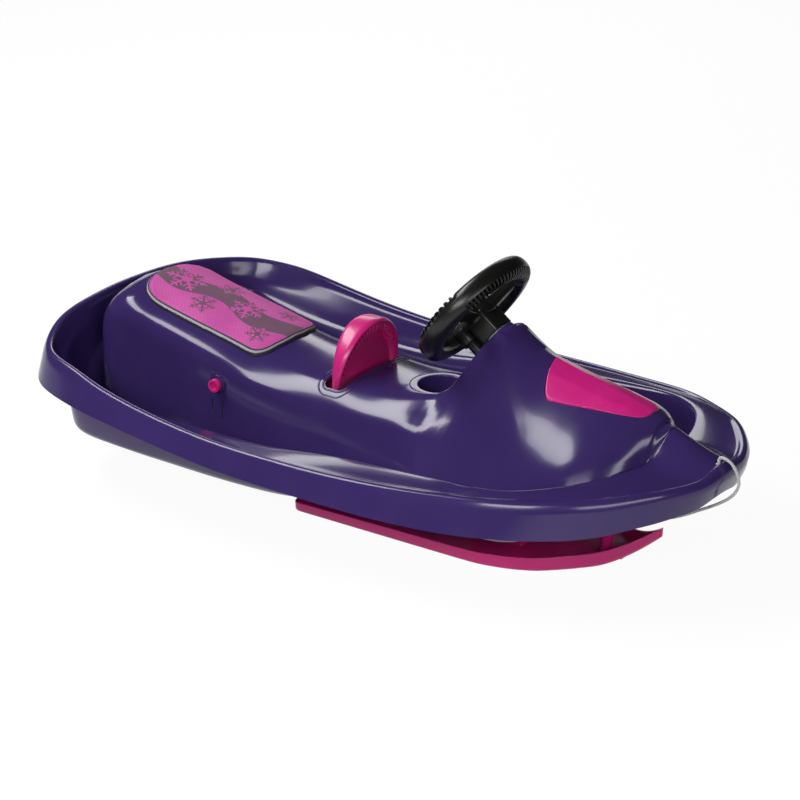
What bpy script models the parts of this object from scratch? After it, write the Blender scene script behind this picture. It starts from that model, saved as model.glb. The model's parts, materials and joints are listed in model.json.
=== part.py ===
"""Steering sled: moulded hull with seat spine and hood, steering wheel, front ski and hand brake.

Frame: metres, +X forward to the nose, +Y to the rider's left, +Z up, origin on the ground
under the middle of the hull.
"""
import math

import bmesh
import bpy
import numpy as np
from mathutils import Vector

# Overall sizes of the hull.
TAIL_LENGTH = 0.507        # origin to the rear rim
NOSE_LENGTH = 0.513        # origin to the nose lip
HALF_WIDTH = 0.2755        # centre plane to the widest part of the rim
WALL = 0.0035              # hull wall
GAP = 0.0003               # clearance between seated pieces

# Rim and skirt.
RIM_WIDTH = 0.016
RIM_DROP = 0.010
NOSE_RIDGE = 0.046         # rise of the nose ridge where it meets the hood
NOSE_RIDGE_WIDTH = 0.046

# Steering.
WHEEL_CENTRE = (0.1184, 0.0, 0.3019)
COLUMN_TILT = math.radians(36)   # column below the horizontal, going forward
WHEEL_RADIUS = 0.0775            # to the middle of the ring
RING_RADIAL = 0.0145
RING_DEEP = 0.0155
GRIP_RIBS = 40
HUB_RADIUS = 0.0228
COLLAR_RADIUS = 0.0240
HUB_END = 0.0455                 # depth below the wheel centre where the hub ends
SHAFT_RADIUS = 0.011
BUSH_WALL = 0.003
SLEEVE_WALL = 0.0045
SLEEVE_END = 0.108
CRANK_REACH = 0.041
CRANK_RADIUS = 0.0095
CRANK_END = 0.133
WHEEL_TURN = math.radians(30)

# Ski.
SKI_HALF_WIDTH = 0.1255
SKI_REAR = -0.0945
SKI_TIP = 0.416
SKI_FLOOR = 0.004
SKI_WALL = 0.0035
SKI_DEPTH = 0.0150               # height of the walls at the rear
SKI_FRONT_DEPTH = 0.0220
SKI_RISE_START = 0.315
SKI_TIP_RISE = 0.0405
KINGPIN_X = 0.331
KINGPIN_RADIUS = 0.005
POST_RADIUS = 0.0088
POST_TOP = 0.056
BOSS_RADIUS = 0.016
BOSS_TOP = 0.190
KING_BUSH_RADIUS = 0.0092
MAST_X = 0.190
BRACKET_TOP = 0.048
BRACKET_LENGTH = 0.062
BRACKET_HALF_WIDTH = 0.048
SCREW_RADIUS = 0.0023
FORK_PLAY = 0.0012
FORK_TOP = 0.2205
FORK_CROTCH = 0.173

# Brake.
BRAKE_X = -0.058
BRAKE_HALF_WIDTH = 0.071
BRAKE_TOP = 0.2505
PIVOT_X = -0.240
PIVOT_Z = 0.1435
PIN_RADIUS = 0.0055
PIN_HEAD_RADIUS = 0.0095
PIN_SEAT = 0.1025                # distance of the pin seats from the centre plane
LEVER_HALF_WIDTH = 0.084

# Cup holder, seat pad and hood panel.
CUP_X = 0.065
CUP_RADIUS = 0.0317
CUP_RIM_RADIUS = 0.044
CUP_TOP = 0.1825
CUP_FLOOR = 0.116
PAD_HALF_WIDTH = 0.070
PAD_REAR = -0.416
PAD_FRONT = -0.180
PAD_THICKNESS = 0.007
PAD_GAP = 0.0012
PANEL_HALF_WIDTH = 0.050
PANEL_REAR = 0.247
PANEL_TIP = 0.398
PANEL_THICKNESS = 0.003
PANEL_GAP = 0.0008

# Pull cord.
CORD_RADIUS = 0.0021
CORD_HOLE_X = 0.4963

# Stations round the hull, from the middle of the rear to the middle of the nose.
# Rim: x, half-width, height, height of the skirt's lower edge, flare of the skirt.
RIM = (
    (-0.507, 0.000, 0.2080, 0.152, 0.013), (-0.5018, 0.0741, 0.2075, 0.152, 0.013),
    (-0.4935, 0.1315, 0.2045, 0.152, 0.012), (-0.468, 0.192, 0.1990, 0.151, 0.010),
    (-0.429, 0.2395, 0.1925, 0.1465, 0.010), (-0.371, 0.2575, 0.1865, 0.1415, 0.012),
    (-0.308, 0.2685, 0.1725, 0.137, 0.012), (-0.200, 0.273, 0.1545, 0.1245, 0.012),
    (-0.090, 0.2755, 0.1455, 0.1147, 0.012), (0.030, 0.2735, 0.1445, 0.1106, 0.012),
    (0.154, 0.264, 0.1475, 0.1059, 0.012), (0.240, 0.2505, 0.1520, 0.1055, 0.012),
    (0.313, 0.236, 0.1565, 0.110, 0.010), (0.379, 0.204, 0.1600, 0.1114, 0.006),
    (0.429, 0.1705, 0.1630, 0.1180, 0.004), (0.464, 0.130, 0.1655, 0.1249, 0.002),
    (0.4935, 0.0845, 0.1665, 0.1256, -0.009), (0.509, 0.041, 0.1667, 0.1262, -0.012),
    (0.513, 0.000, 0.1675, 0.1258, -0.011),
)
# Inner edge of the ledge inside the rim: x, half-width, height.
LEDGE = (
    (-0.4895, 0.000, 0.180), (-0.4845, 0.072, 0.179), (-0.474, 0.121, 0.174), (-0.449, 0.172, 0.166),
    (-0.415, 0.208, 0.152), (-0.366, 0.210, 0.139), (-0.300, 0.206, 0.130), (-0.200, 0.203, 0.1275),
    (-0.090, 0.202, 0.1275), (0.030, 0.205, 0.1430), (0.140, 0.207, 0.1495), (0.234, 0.207, 0.1545),
    (0.300, 0.200, 0.1590), (0.355, 0.170, 0.1655), (0.385, 0.130, 0.1675), (0.402, 0.093, 0.1675),
    (0.414, 0.053, 0.1675), (0.424, 0.023, 0.1675), (0.430, 0.000, 0.1675),
)
# Foot of the spine and hood: x, half-width, height of the well's floor.
FOOT = (
    (-0.478, 0.000, 0.150), (-0.475, 0.045, 0.140), (-0.470, 0.070, 0.100), (-0.459, 0.088, 0.066),
    (-0.436, 0.099, 0.0585), (-0.385, 0.104, 0.0495), (-0.300, 0.105, 0.0380), (-0.200, 0.106, 0.034),
    (-0.090, 0.110, 0.037), (0.030, 0.118, 0.060), (0.140, 0.132, 0.064), (0.210, 0.142, 0.068),
    (0.270, 0.146, 0.072), (0.325, 0.138, 0.095), (0.365, 0.115, 0.125), (0.392, 0.085, 0.145),
    (0.410, 0.050, 0.160), (0.422, 0.022, 0.188), (0.428, 0.000, 0.2085),
)
# Height of the centre line along the spine and hood.
CREST = (
    (-0.478, 0.150), (-0.470, 0.198), (-0.458, 0.2225), (-0.440, 0.234), (-0.416, 0.2412),
    (-0.355, 0.2285), (-0.258, 0.2085), (-0.180, 0.1925), (-0.120, 0.185), (-0.058, 0.182),
    (0.000, 0.182), (0.065, 0.1855), (0.100, 0.1905), (0.110, 0.204), (0.156, 0.274),
    (0.172, 0.2920), (0.180, 0.2935), (0.190, 0.2875), (0.205, 0.2800), (0.247, 0.2625), (0.300, 0.2483),
    (0.350, 0.2358), (0.398, 0.2215), (0.428, 0.2085),
)
# Half-sections of the spine and hood at x: three points from the crest down to the foot,
# each as share of the foot's half-width and share of the height above the well's floor.
SECTIONS = (
    (-0.478, 0.60, 0.93, 0.84, 0.84, 0.95, 0.68), (-0.420, 0.62, 0.956, 0.85, 0.903, 0.95, 0.78),
    (-0.355, 0.63, 0.941, 0.84, 0.892, 0.94, 0.743), (-0.258, 0.63, 0.934, 0.835, 0.874, 0.94, 0.742),
    (-0.180, 0.58, 0.937, 0.80, 0.836, 0.935, 0.732), (-0.100, 0.475, 0.96, 0.73, 0.838, 0.91, 0.716),
    (-0.020, 0.42, 0.962, 0.685, 0.833, 0.877, 0.697), (0.065, 0.377, 0.984, 0.64, 0.855, 0.83, 0.695),
    (0.105, 0.314, 0.99, 0.533, 0.80, 0.788, 0.625), (0.140, 0.258, 0.99, 0.38, 0.715, 0.765, 0.43),
    (0.177, 0.175, 0.983, 0.407, 0.69, 0.756, 0.33), (0.210, 0.24, 0.916, 0.514, 0.636, 0.768, 0.334),
    (0.250, 0.31, 0.8425, 0.586, 0.617, 0.814, 0.354), (0.300, 0.32, 0.851, 0.59, 0.634, 0.847, 0.352),
    (0.350, 0.333, 0.87, 0.603, 0.646, 0.857, 0.362), (0.390, 0.389, 0.88, 0.64, 0.628, 0.846, 0.356),
    (0.428, 0.46, 0.88, 0.72, 0.62, 0.87, 0.36),
)
# Side of the well from the ledge to the foot: share of the way, share of the depth left.
WELL_WALL = ((0.0, 1.0), (0.08, 0.86), (0.24, 0.35), (0.38, 0.08), (0.52, 0.0), (0.86, 0.0))
WELL_STEEP = ((0.0, 0.5), (4.0, 0.5), (6.5, 1.0), (18.0, 1.0))   # scale of those shares by station
FOOT_FILLET = 0.05         # share of the height where the spine's side leaves the floor
STATION_STEPS = (0.5,) * 12 + (1.0,) * 3 + (0.25,) * 8 + (0.5,) * 14
SPINE_STEPS = (0.0, 0.5, 1.0, 1.5, 2.0, 2.5, 3.0, 4.0)


def slopes(xs, ys):
    """Slopes at the knots that keep the curve between its knots."""
    h = np.diff(xs)
    d = np.diff(ys) / h
    m = np.zeros(len(xs))
    for i in range(1, len(xs) - 1):
        if d[i - 1] * d[i] > 0:
            m[i] = 2 * d[i - 1] * d[i] / (d[i - 1] + d[i])
    m[0], m[-1] = d[0], d[-1]
    return m


def smooth(xs, ys, x):
    """Value at x of the smooth curve through the knots."""
    xs = np.asarray(xs, float)
    ys = np.asarray(ys, float)
    m = slopes(xs, ys)
    x = min(max(x, xs[0]), xs[-1])
    i = min(max(int(np.searchsorted(xs, x, side="right")) - 1, 0), len(xs) - 2)
    h = xs[i + 1] - xs[i]
    t = (x - xs[i]) / h
    rise = ys[i] * (1 + 2 * t) * (1 - t) ** 2 + ys[i + 1] * t * t * (3 - 2 * t)
    return float(rise + h * (m[i] * t * (1 - t) ** 2 + m[i + 1] * t * t * (t - 1)))


def lengthwise(x):
    """Stretches the tail and the nose to their lengths, and leaves the middle as it is."""
    if x < -0.2:
        return -0.2 + (x + 0.2) * (TAIL_LENGTH - 0.2) / 0.307
    if x > 0.40:
        return 0.40 + (x - 0.40) * (NOSE_LENGTH - 0.40) / 0.113
    return x


def widthwise(y):
    """Stretches what lies outside the spine to the hull's width."""
    if y < 0.12:
        return y
    return 0.12 + (y - 0.12) * (HALF_WIDTH - 0.12) / 0.1555


def round_station(table, u):
    """Values of a station table at u; the table goes on as its mirror image past both ends."""
    rows = [list(table[1])] + [list(row) for row in table] + [list(table[-2])]
    rows[0][1] *= -1
    rows[-1][1] *= -1
    knots = range(-1, len(table) + 1)
    return [smooth(knots, [row[i] for row in rows], u) for i in range(len(table[0]))]


def foot_at(x):
    """Half-width and floor height of the spine's foot at x."""
    xs = [row[0] for row in FOOT]
    return smooth(xs, [row[1] for row in FOOT], x), smooth(xs, [row[2] for row in FOOT], x)


def section_curve(x, width, floor):
    """Points (y, z) of the half-section at x, from the foot up to the crest."""
    crest = smooth([c[0] for c in CREST], [c[1] for c in CREST], x)
    xs = [s[0] for s in SECTIONS]
    share = [smooth(xs, [s[i] for s in SECTIONS], x) for i in range(1, 7)]
    across = (0.0, share[0], share[2], share[4], 1.0)
    up = (1.0, share[1], share[3], share[5], FOOT_FILLET)
    points = []
    for v in SPINE_STEPS[::-1]:
        f = smooth((-1, 0, 1, 2, 3, 4), (-across[1],) + across, v)
        h = smooth((-1, 0, 1, 2, 3, 4), (up[1],) + up, v)
        points.append((width * f, floor + (crest - floor) * h))
    return points


def deck_height(x, y):
    """Height of the spine or hood over the point (x, y)."""
    width, floor = foot_at(x)
    points = section_curve(x, width, floor)[::-1]
    return float(np.interp(abs(y), [p[0] for p in points], [p[1] for p in points]))


def nose_ridge(x, y):
    """Rise of the ridge that carries the hood's crest on to the nose lip."""
    along = smooth((0.400, 0.430, 0.455, 0.496, 0.513), (0.90, 0.90, 0.62, 0.24, 0.04), x)
    across = max(0.0, 1 - (y / NOSE_RIDGE_WIDTH) ** 2) ** 2
    return NOSE_RIDGE * along * across if x > 0.405 else 0.0


def hull_row(u):
    """Points of one station, from the skirt's lower edge over the rim and well to the crest."""
    rim_x, rim_y, rim_z, skirt_z, flare = round_station(RIM, u)
    ledge_x, ledge_y, ledge_z = round_station(LEDGE, u)
    foot_x, foot_y, floor_z = round_station(FOOT, u)
    inward = Vector((ledge_x - rim_x, ledge_y - rim_y))
    span = inward.length
    inward.normalize()
    drop = min(RIM_DROP, rim_z - ledge_z + 0.004)
    rows = []

    def from_rim(distance, z):
        x = rim_x + inward.x * distance
        y = rim_y + inward.y * distance
        rows.append((x, y, z + nose_ridge(x, y)))

    def to_foot(share, height):
        x = ledge_x + (foot_x - ledge_x) * share * steep
        y = ledge_y + (foot_y - ledge_y) * share * steep
        rows.append((x, y, floor_z + (edge_z - floor_z) * height))

    shoulder = rim_z - min(RIM_DROP, (rim_z - skirt_z) * 0.35)
    from_rim(-flare, skirt_z)
    from_rim(-0.001, shoulder)
    from_rim(0.004, rim_z)
    from_rim(0.012, rim_z)
    from_rim(RIM_WIDTH, rim_z - drop)
    from_rim(RIM_WIDTH + (span - RIM_WIDTH) * 0.45, ledge_z + (rim_z - drop - ledge_z) * 0.35)
    edge_z = ledge_z + nose_ridge(ledge_x, ledge_y)
    steep = smooth([s[0] for s in WELL_STEEP], [s[1] for s in WELL_STEEP], u)
    for share, height in WELL_WALL:
        to_foot(share, height)
    rows += [(foot_x, y, z) for y, z in section_curve(foot_x, foot_y, floor_z)]
    return [(lengthwise(x), widthwise(y), z) for x, y, z in rows]


def material(name, colour, roughness, metallic=0.0, coat=0.0):
    made = bpy.data.materials.new(name)
    made.use_nodes = True
    shader = made.node_tree.nodes["Principled BSDF"]
    shader.inputs["Base Color"].default_value = (*colour, 1.0)
    shader.inputs["Roughness"].default_value = roughness
    shader.inputs["Metallic"].default_value = metallic
    shader.inputs["Coat Weight"].default_value = coat
    made.diffuse_color = (*colour, 1.0)
    return made


def add_object(name, mesh, look=None, parent=None):
    made = bpy.data.objects.new(name, mesh)
    bpy.context.scene.collection.objects.link(made)
    if look:
        mesh.materials.append(look)
    if parent:
        made.parent = parent
    return made


def finish_mesh(name, work, smooth_angle=40):
    """A mesh from the bmesh, with its doubles merged and its faces turned out."""
    bmesh.ops.remove_doubles(work, verts=work.verts, dist=1e-6)
    bmesh.ops.dissolve_degenerate(work, edges=work.edges, dist=1e-6)
    bmesh.ops.recalc_face_normals(work, faces=work.faces)
    mesh = bpy.data.meshes.new(name)
    work.to_mesh(mesh)
    work.free()
    mesh.shade_smooth()
    mesh.set_sharp_from_angle(angle=math.radians(smooth_angle))
    return mesh


def loft(name, rings, cap=True, close_loop=True):
    """A mesh through rings of points that have the same count."""
    work = bmesh.new()
    loops = [[work.verts.new(point) for point in ring] for ring in rings]
    count = len(rings[0])
    for lower, upper in zip(loops, loops[1:]):
        for i in range(count if close_loop else count - 1):
            j = (i + 1) % count
            work.faces.new((lower[i], lower[j], upper[j], upper[i]))
    if cap:
        work.faces.new(loops[0][::-1])
        work.faces.new(loops[-1])
    return finish_mesh(name, work)


def circle(radius, z, segments, centre=(0.0, 0.0), phase=0.0):
    turn = 2 * math.pi / segments
    return [(centre[0] + radius * math.cos(phase + turn * i),
             centre[1] + radius * math.sin(phase + turn * i), z) for i in range(segments)]


def turned(name, profile, segments=24, centre=(0.0, 0.0)):
    """A turned solid about the local Z axis from (radius, z) points, closed on the axis or as a ring."""
    rings = [circle(radius, z, segments, centre) for radius, z in profile]
    if profile[0] == profile[-1]:
        return loft(name, rings, cap=False)
    return loft(name, rings)


def tube(name, inner, outer, low, high, segments=24, centre=(0.0, 0.0)):
    profile = ((outer, low), (outer, high), (inner, high), (inner, low), (outer, low))
    return turned(name, profile, segments, centre)


def extruded(name, outline, low, high, axis="Z"):
    """A prism of an outline; axis Y takes (x, z) points and axis X takes (y, z) points."""
    def place(point, level):
        if axis == "Z":
            return (point[0], point[1], level)
        if axis == "Y":
            return (point[0], level, point[1])
        return (level, point[0], point[1])
    return loft(name, [[place(p, low) for p in outline], [place(p, high) for p in outline]])


def box(name, low, high):
    outline = [(low[0], low[1]), (high[0], low[1]), (high[0], high[1]), (low[0], high[1])]
    return extruded(name, outline, low[2], high[2])


def rounded_box(name, low, high, radius, axis="Z", steps=3):
    """A box with its edges along one axis rounded."""
    a, b = {"Z": (0, 1), "Y": (0, 2), "X": (1, 2)}[axis]
    c = {"Z": 2, "Y": 1, "X": 0}[axis]
    outline = []
    corners = ((high[a], high[b], 0), (low[a], high[b], 1), (low[a], low[b], 2), (high[a], low[b], 3))
    for p, q, quarter in corners:
        cx = p - math.copysign(radius, p - (low[a] + high[a]) / 2)
        cy = q - math.copysign(radius, q - (low[b] + high[b]) / 2)
        for step in range(steps + 1):
            turn = (quarter + step / steps) * math.pi / 2
            outline.append((cx + radius * math.cos(turn), cy + radius * math.sin(turn)))
    return extruded(name, outline, low[c], high[c], axis)


def combine(target, operand_mesh, operation, parent=None, solver="EXACT"):
    """Adds a hidden helper of this mesh and a Boolean with it."""
    helper = add_object(target.name + "." + operand_mesh.name, operand_mesh, parent=parent)
    helper.hide_render = True
    helper.display_type = "WIRE"
    change = target.modifiers.new(operand_mesh.name, "BOOLEAN")
    change.operation = operation
    change.object = helper
    change.solver = solver
    return helper


def join(target, operand_mesh, parent=None):
    return combine(target, operand_mesh, "UNION", parent)


def cut(target, operand_mesh, parent=None):
    return combine(target, operand_mesh, "DIFFERENCE", parent)


def empty(name, location, rotation=(0.0, 0.0, 0.0)):
    made = bpy.data.objects.new(name, None)
    made.location = location
    made.rotation_euler = rotation
    bpy.context.scene.collection.objects.link(made)
    return made


def hull_shell():
    """Half of the hull's outer surface as a mesh; a mirror and a wall make the shell."""
    u = 0.0
    stations = [hull_row(u)]
    for step in STATION_STEPS:
        u += step
        stations.append(hull_row(u))
    work = bmesh.new()
    grid = [[work.verts.new(point) for point in row] for row in stations]
    for row, following in zip(grid, grid[1:]):
        for i in range(len(row) - 1):
            work.faces.new((row[i], following[i], following[i + 1], row[i + 1]))
    return finish_mesh("hull", work, 35)


def web_outline(x, low, high, inset):
    """Outline (y, z) of a cross web inside the hood at x, a little into its wall, flat above and below."""
    width, floor = foot_at(x)
    side = [(y - inset, z - inset * 0.6) for y, z in section_curve(x, width, floor)]
    heights = [z for _, z in side]
    widths = [y for y, _ in side]
    right = [(float(np.interp(low, heights, widths)), low)]
    right += [(y, z) for y, z in side if low < z < high]
    right.append((float(np.interp(high, heights, widths)), high))
    return right + [(-y, z) for y, z in right[::-1]]


def rail_mesh(side):
    """One moulded runner rail below the spine's side, with both ends drawn up."""
    rings = []
    for x, lift in ((-0.452, 0.044), (-0.430, 0.012), (-0.400, 0.0), (-0.300, 0.0), (-0.220, 0.0),
                    (-0.160, 0.0), (-0.138, 0.006), (-0.128, 0.024)):
        top = foot_at(x)[1] + 0.008
        outline = ((0.080, 0.0), (0.090, 0.0), (0.0965, 0.012), (0.1035, top - 0.012), (0.1035, top),
                   (0.0985, top), (0.094, top - 0.008), (0.080, 0.012))
        ring = [(lengthwise(x), side * y, max(z, lift)) for y, z in outline]
        rings.append([(a, b, c + 1e-5 * k) for k, (a, b, c) in enumerate(ring)])
    return loft("rail", rings)


def panel_ends(y, grow=0.0):
    """Rear and front x of the hood panel's outline at y."""
    share = min(abs(y) / (PANEL_HALF_WIDTH + grow), 1.0)
    corner = PANEL_REAR + 0.015
    rear = PANEL_REAR - grow + 0.015 * share ** 2
    return rear, max(PANEL_TIP + grow - (PANEL_TIP - corner + grow) * share ** 3.4, rear)


def panel_outline(grow=0.0, steps=9):
    half = PANEL_HALF_WIDTH + grow
    ys = [half * math.sin(math.pi / 2 * i / steps) for i in range(-steps, steps + 1)]
    front = [(panel_ends(y, grow)[1], y) for y in ys]
    rear = [(panel_ends(y, grow)[0], y) for y in ys[1:-1][::-1]]
    return front + rear


def arc_slot():
    """Cutter for the crank rod's slot, an arc round the column below the shaft."""
    clear = 0.0012
    outer = CRANK_REACH + CRANK_RADIUS + clear
    inner = CRANK_REACH - CRANK_RADIUS - clear
    middle = (outer + inner) / 2
    half = (outer - inner) / 2
    turn = WHEEL_TURN + math.radians(2)
    outline = [(-outer * math.cos(a), outer * math.sin(a)) for a in np.linspace(-turn, turn, 9)]
    end = (-middle * math.cos(turn), middle * math.sin(turn))
    outline += [(end[0] - half * math.cos(turn + b), end[1] + half * math.sin(turn + b))
                for b in np.linspace(0.4, 2.7, 5)]
    outline += [(-inner * math.cos(a), inner * math.sin(a)) for a in np.linspace(turn, -turn, 7)]
    end = (end[0], -end[1])
    outline += [(end[0] - half * math.cos(turn + b), end[1] - half * math.sin(turn + b))
                for b in np.linspace(2.7, 0.4, 5)]
    return extruded("crank_slot", outline, -0.085, -0.030)


def build_hull(look, column):
    hull = add_object("hull", hull_shell(), look)
    mirror = hull.modifiers.new("sides", "MIRROR")
    mirror.use_axis = (False, True, False)
    mirror.use_mirror_merge = True
    mirror.merge_threshold = 0.00002
    wall = hull.modifiers.new("wall", "SOLIDIFY")
    wall.thickness = WALL
    wall.offset = -1
    wall.use_even_offset = True
    wall.use_quality_normals = True
    add_cup(hull)
    add_column_sleeve(hull, column)
    add_kingpin_boss(hull)
    for side in (1, -1):
        join(hull, rail_mesh(side))
    cut_brake_openings(hull)
    cut(hull, extruded("panel_opening", panel_outline(PANEL_GAP), 0.195, 0.32))
    cut(hull, turned("cord_hole", ((0.0045, 0.12), (0.0045, 0.22)), 16, (CORD_HOLE_X, 0.0)))
    return hull


def add_cup(hull):
    """Cup holder: a moulded cup below a flat ring in the spine."""
    wall = CUP_RADIUS + 0.003
    profile = ((wall - 0.006, CUP_FLOOR - 0.004), (wall, CUP_FLOOR), (wall, CUP_TOP - 0.007),
               (CUP_RIM_RADIUS, CUP_TOP - 0.005), (CUP_RIM_RADIUS, CUP_TOP))
    join(hull, turned("cup", profile, 32, (CUP_X, 0.0)))
    cut(hull, turned("cup_ring", ((CUP_RIM_RADIUS - 0.002, CUP_TOP), (CUP_RIM_RADIUS, 0.205)), 32,
                     (CUP_X, 0.0)))
    cut(hull, turned("cup_bore", ((CUP_RADIUS - 0.006, CUP_FLOOR), (CUP_RADIUS - 0.002, CUP_FLOOR + 0.002),
                                  (CUP_RADIUS, CUP_TOP + 0.02)), 32, (CUP_X, 0.0)))


def add_column_sleeve(hull, column):
    """Collar on the console's face and the sleeve behind it for the shaft bush."""
    outer = SHAFT_RADIUS + BUSH_WALL + SLEEVE_WALL
    start = HUB_END + 0.0024
    profile = ((outer, -SLEEVE_END), (outer, -0.062), (COLLAR_RADIUS, -0.056), (COLLAR_RADIUS, -start))
    join(hull, turned("sleeve", profile, 32), column)
    bore = SHAFT_RADIUS + GAP + BUSH_WALL
    seat = COLLAR_RADIUS + 0.001
    profile = ((bore, -SLEEVE_END - 0.01), (bore, -start), (seat, -start), (seat, -0.012))
    cut(hull, turned("shaft_bore", profile, 32), column)
    cut(hull, arc_slot(), column)


def add_kingpin_boss(hull):
    """Boss for the ski's kingpin, carried by a cross web and a web towards the nose."""
    low = POST_TOP + 0.0035
    join(hull, extruded("cross_web", web_outline(KINGPIN_X, 0.105, BOSS_TOP - 0.004, WALL * 0.5),
                        KINGPIN_X - 0.0015, KINGPIN_X + 0.0015, "X"))
    front = PANEL_TIP + 0.008
    rear = KINGPIN_X + 0.010
    outline = ((rear, 0.100), (front - 0.012, 0.100), (front, 0.112), (front, deck_height(front, 0.0) - 0.002),
               (PANEL_TIP - 0.002, 0.188), (rear, 0.180))
    join(hull, extruded("nose_web", outline, -0.0016, 0.0016, "Y"))
    join(hull, turned("boss", ((BOSS_RADIUS, low), (BOSS_RADIUS + 0.0015, BOSS_TOP)), 24, (KINGPIN_X, 0.0)))
    bore = KING_BUSH_RADIUS + GAP
    cut(hull, turned("boss_bore", ((bore, low - 0.01), (bore, BOSS_TOP + 0.01)), 24, (KINGPIN_X, 0.0)))


def cut_brake_openings(hull):
    """Slot for the handle, seats and bores for the pivot pins and the tongue slots under them."""
    reach = BRAKE_HALF_WIDTH + 0.0045
    low, high = (BRAKE_X - 0.021, -reach, 0.152), (BRAKE_X + 0.014, reach, 0.24)
    cut(hull, rounded_box("handle_slot", low, high, 0.010))
    hole = PIN_RADIUS + GAP
    for side in (1, -1):
        seat = turned("pin_seat", ((0.0135, PIN_SEAT - 0.010), (0.0135, PIN_SEAT)), 20)
        bore = turned("pin_bore", ((hole, PIN_SEAT - 0.02), (hole, PIN_SEAT + 0.02)), 16)
        holder = empty("pin_axis", (PIVOT_X, 0.0, PIVOT_Z), (-side * math.pi / 2, 0.0, 0.0))
        join(hull, seat, holder)
        cut(hull, bore, holder)
        for step in (-1, 1):
            x = PIVOT_X + step * 0.0087
            low, high = sorted((side * 0.0885, side * 0.113))
            cut(hull, box("tongue_slot", (x - 0.0011, low, 0.0952), (x + 0.0011, high, 0.1217)))


def ring_mesh():
    """Wheel ring: an oval section swept round the column, with finger ribs on its inner underside."""
    count = GRIP_RIBS * 2
    rings = []
    for i in range(count):
        turn = 2 * math.pi * i / count
        bump = 0.0011 if i % 2 else -0.0011
        ring = []
        for k in range(8):
            a = 2 * math.pi * k / 8
            grip = bump if k in (4, 5, 6) else 0.0
            radial = (RING_RADIAL + grip) * math.copysign(abs(math.cos(a)) ** 0.85, math.cos(a))
            deep = (RING_DEEP + grip) * math.copysign(abs(math.sin(a)) ** 0.85, math.sin(a))
            reach = WHEEL_RADIUS + radial
            ring.append((reach * math.cos(turn), reach * math.sin(turn), deep))
        rings.append(ring)
    return loft("steering_wheel", rings + [rings[0]], cap=False)


def spoke_mesh(angle):
    """A spoke from the hub to the ring, wider at its outer end."""
    rings = []
    for reach, half, low, high in ((0.015, 0.0095, -0.016, 0.002), (0.045, 0.0100, -0.012, 0.003),
                                   (WHEEL_RADIUS - 0.002, 0.0150, -0.008, 0.006)):
        ring = []
        for across, z in ((-half, low), (half, low), (half * 0.85, high), (-half * 0.85, high)):
            ring.append((reach * math.cos(angle) - across * math.sin(angle),
                         reach * math.sin(angle) + across * math.cos(angle), z))
        rings.append(ring)
    return loft("spoke", rings)


def build_steering(looks, column):
    """Wheel with hub and crank boss, cap, shaft, crank rod, bush, washer and clip, on the column's axis."""
    wheel = add_object("steering_wheel", ring_mesh(), looks["black"], column)
    join(wheel, turned("hub", ((HUB_RADIUS - 0.001, -HUB_END), (HUB_RADIUS, -HUB_END + 0.002),
                               (HUB_RADIUS - 0.002, -0.004), (0.0195, 0.006), (0.0195, 0.010)), 32), column)
    for angle in (math.pi, math.radians(72), -math.radians(72)):
        join(wheel, spoke_mesh(angle), column)
    join(wheel, turned("crank_boss", ((0.0132, -0.026), (0.0140, -0.004)), 20, (-CRANK_REACH, 0.0)), column)
    cut(wheel, turned("crank_socket", ((CRANK_RADIUS + GAP, -0.030), (CRANK_RADIUS + GAP, -0.010)), 20,
                      (-CRANK_REACH, 0.0)), column)
    hole = SHAFT_RADIUS + GAP
    cut(wheel, turned("shaft_socket", ((hole, -0.060), (hole, -0.014)), 24), column)
    cut(wheel, turned("cap_recess", ((0.0165, 0.0045), (0.0165, 0.02)), 32), column)
    cap = ((0.0162, 0.0048), (0.0162, 0.0108), (0.0135, 0.0128), (0.0060, 0.0138))
    add_object("wheel_cap", turned("wheel_cap", cap, 32), looks["cap"], column)
    groove = -SLEEVE_END - 0.0023
    shaft = ((SHAFT_RADIUS - 0.001, -SLEEVE_END - 0.0100), (SHAFT_RADIUS, -SLEEVE_END - 0.009),
             (SHAFT_RADIUS, groove - 0.0026), (SHAFT_RADIUS - 0.0018, groove - 0.0026),
             (SHAFT_RADIUS - 0.0018, groove), (SHAFT_RADIUS, groove), (SHAFT_RADIUS, -0.0143))
    add_object("steering_shaft", turned("steering_shaft", shaft, 24), looks["steel"], column)
    rod = ((CRANK_RADIUS - 0.0015, -CRANK_END), (CRANK_RADIUS, -CRANK_END + 0.0015), (CRANK_RADIUS, -0.0103))
    add_object("crank_rod", turned("crank_rod", rod, 20, (-CRANK_REACH, 0.0)), looks["black"], column)
    inner = SHAFT_RADIUS + GAP
    outer = inner + BUSH_WALL - GAP
    face = -HUB_END - GAP
    seat = -HUB_END - 0.0024 + GAP
    bush = ((outer, -SLEEVE_END), (outer, seat), (0.0185, seat), (0.0185, face), (inner, face),
            (inner, -SLEEVE_END), (outer, -SLEEVE_END))
    add_object("shaft_bush", turned("shaft_bush", bush, 24), looks["natural"], column)
    washer = tube("shaft_washer", inner, 0.0180, -SLEEVE_END - 0.0020, -SLEEVE_END - GAP, 24)
    add_object("shaft_washer", washer, looks["steel"], column)
    clip = []
    sweep = np.linspace(-2.5, 2.5, 15)
    for radius, turns in ((0.0145, sweep), (SHAFT_RADIUS - 0.0015, sweep[::-1])):
        clip += [(radius * math.cos(a), radius * math.sin(a)) for a in turns]
    clip = extruded("shaft_clip", clip, groove - 0.0021, groove - GAP)
    add_object("shaft_clip", clip, looks["steel"], column)


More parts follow.
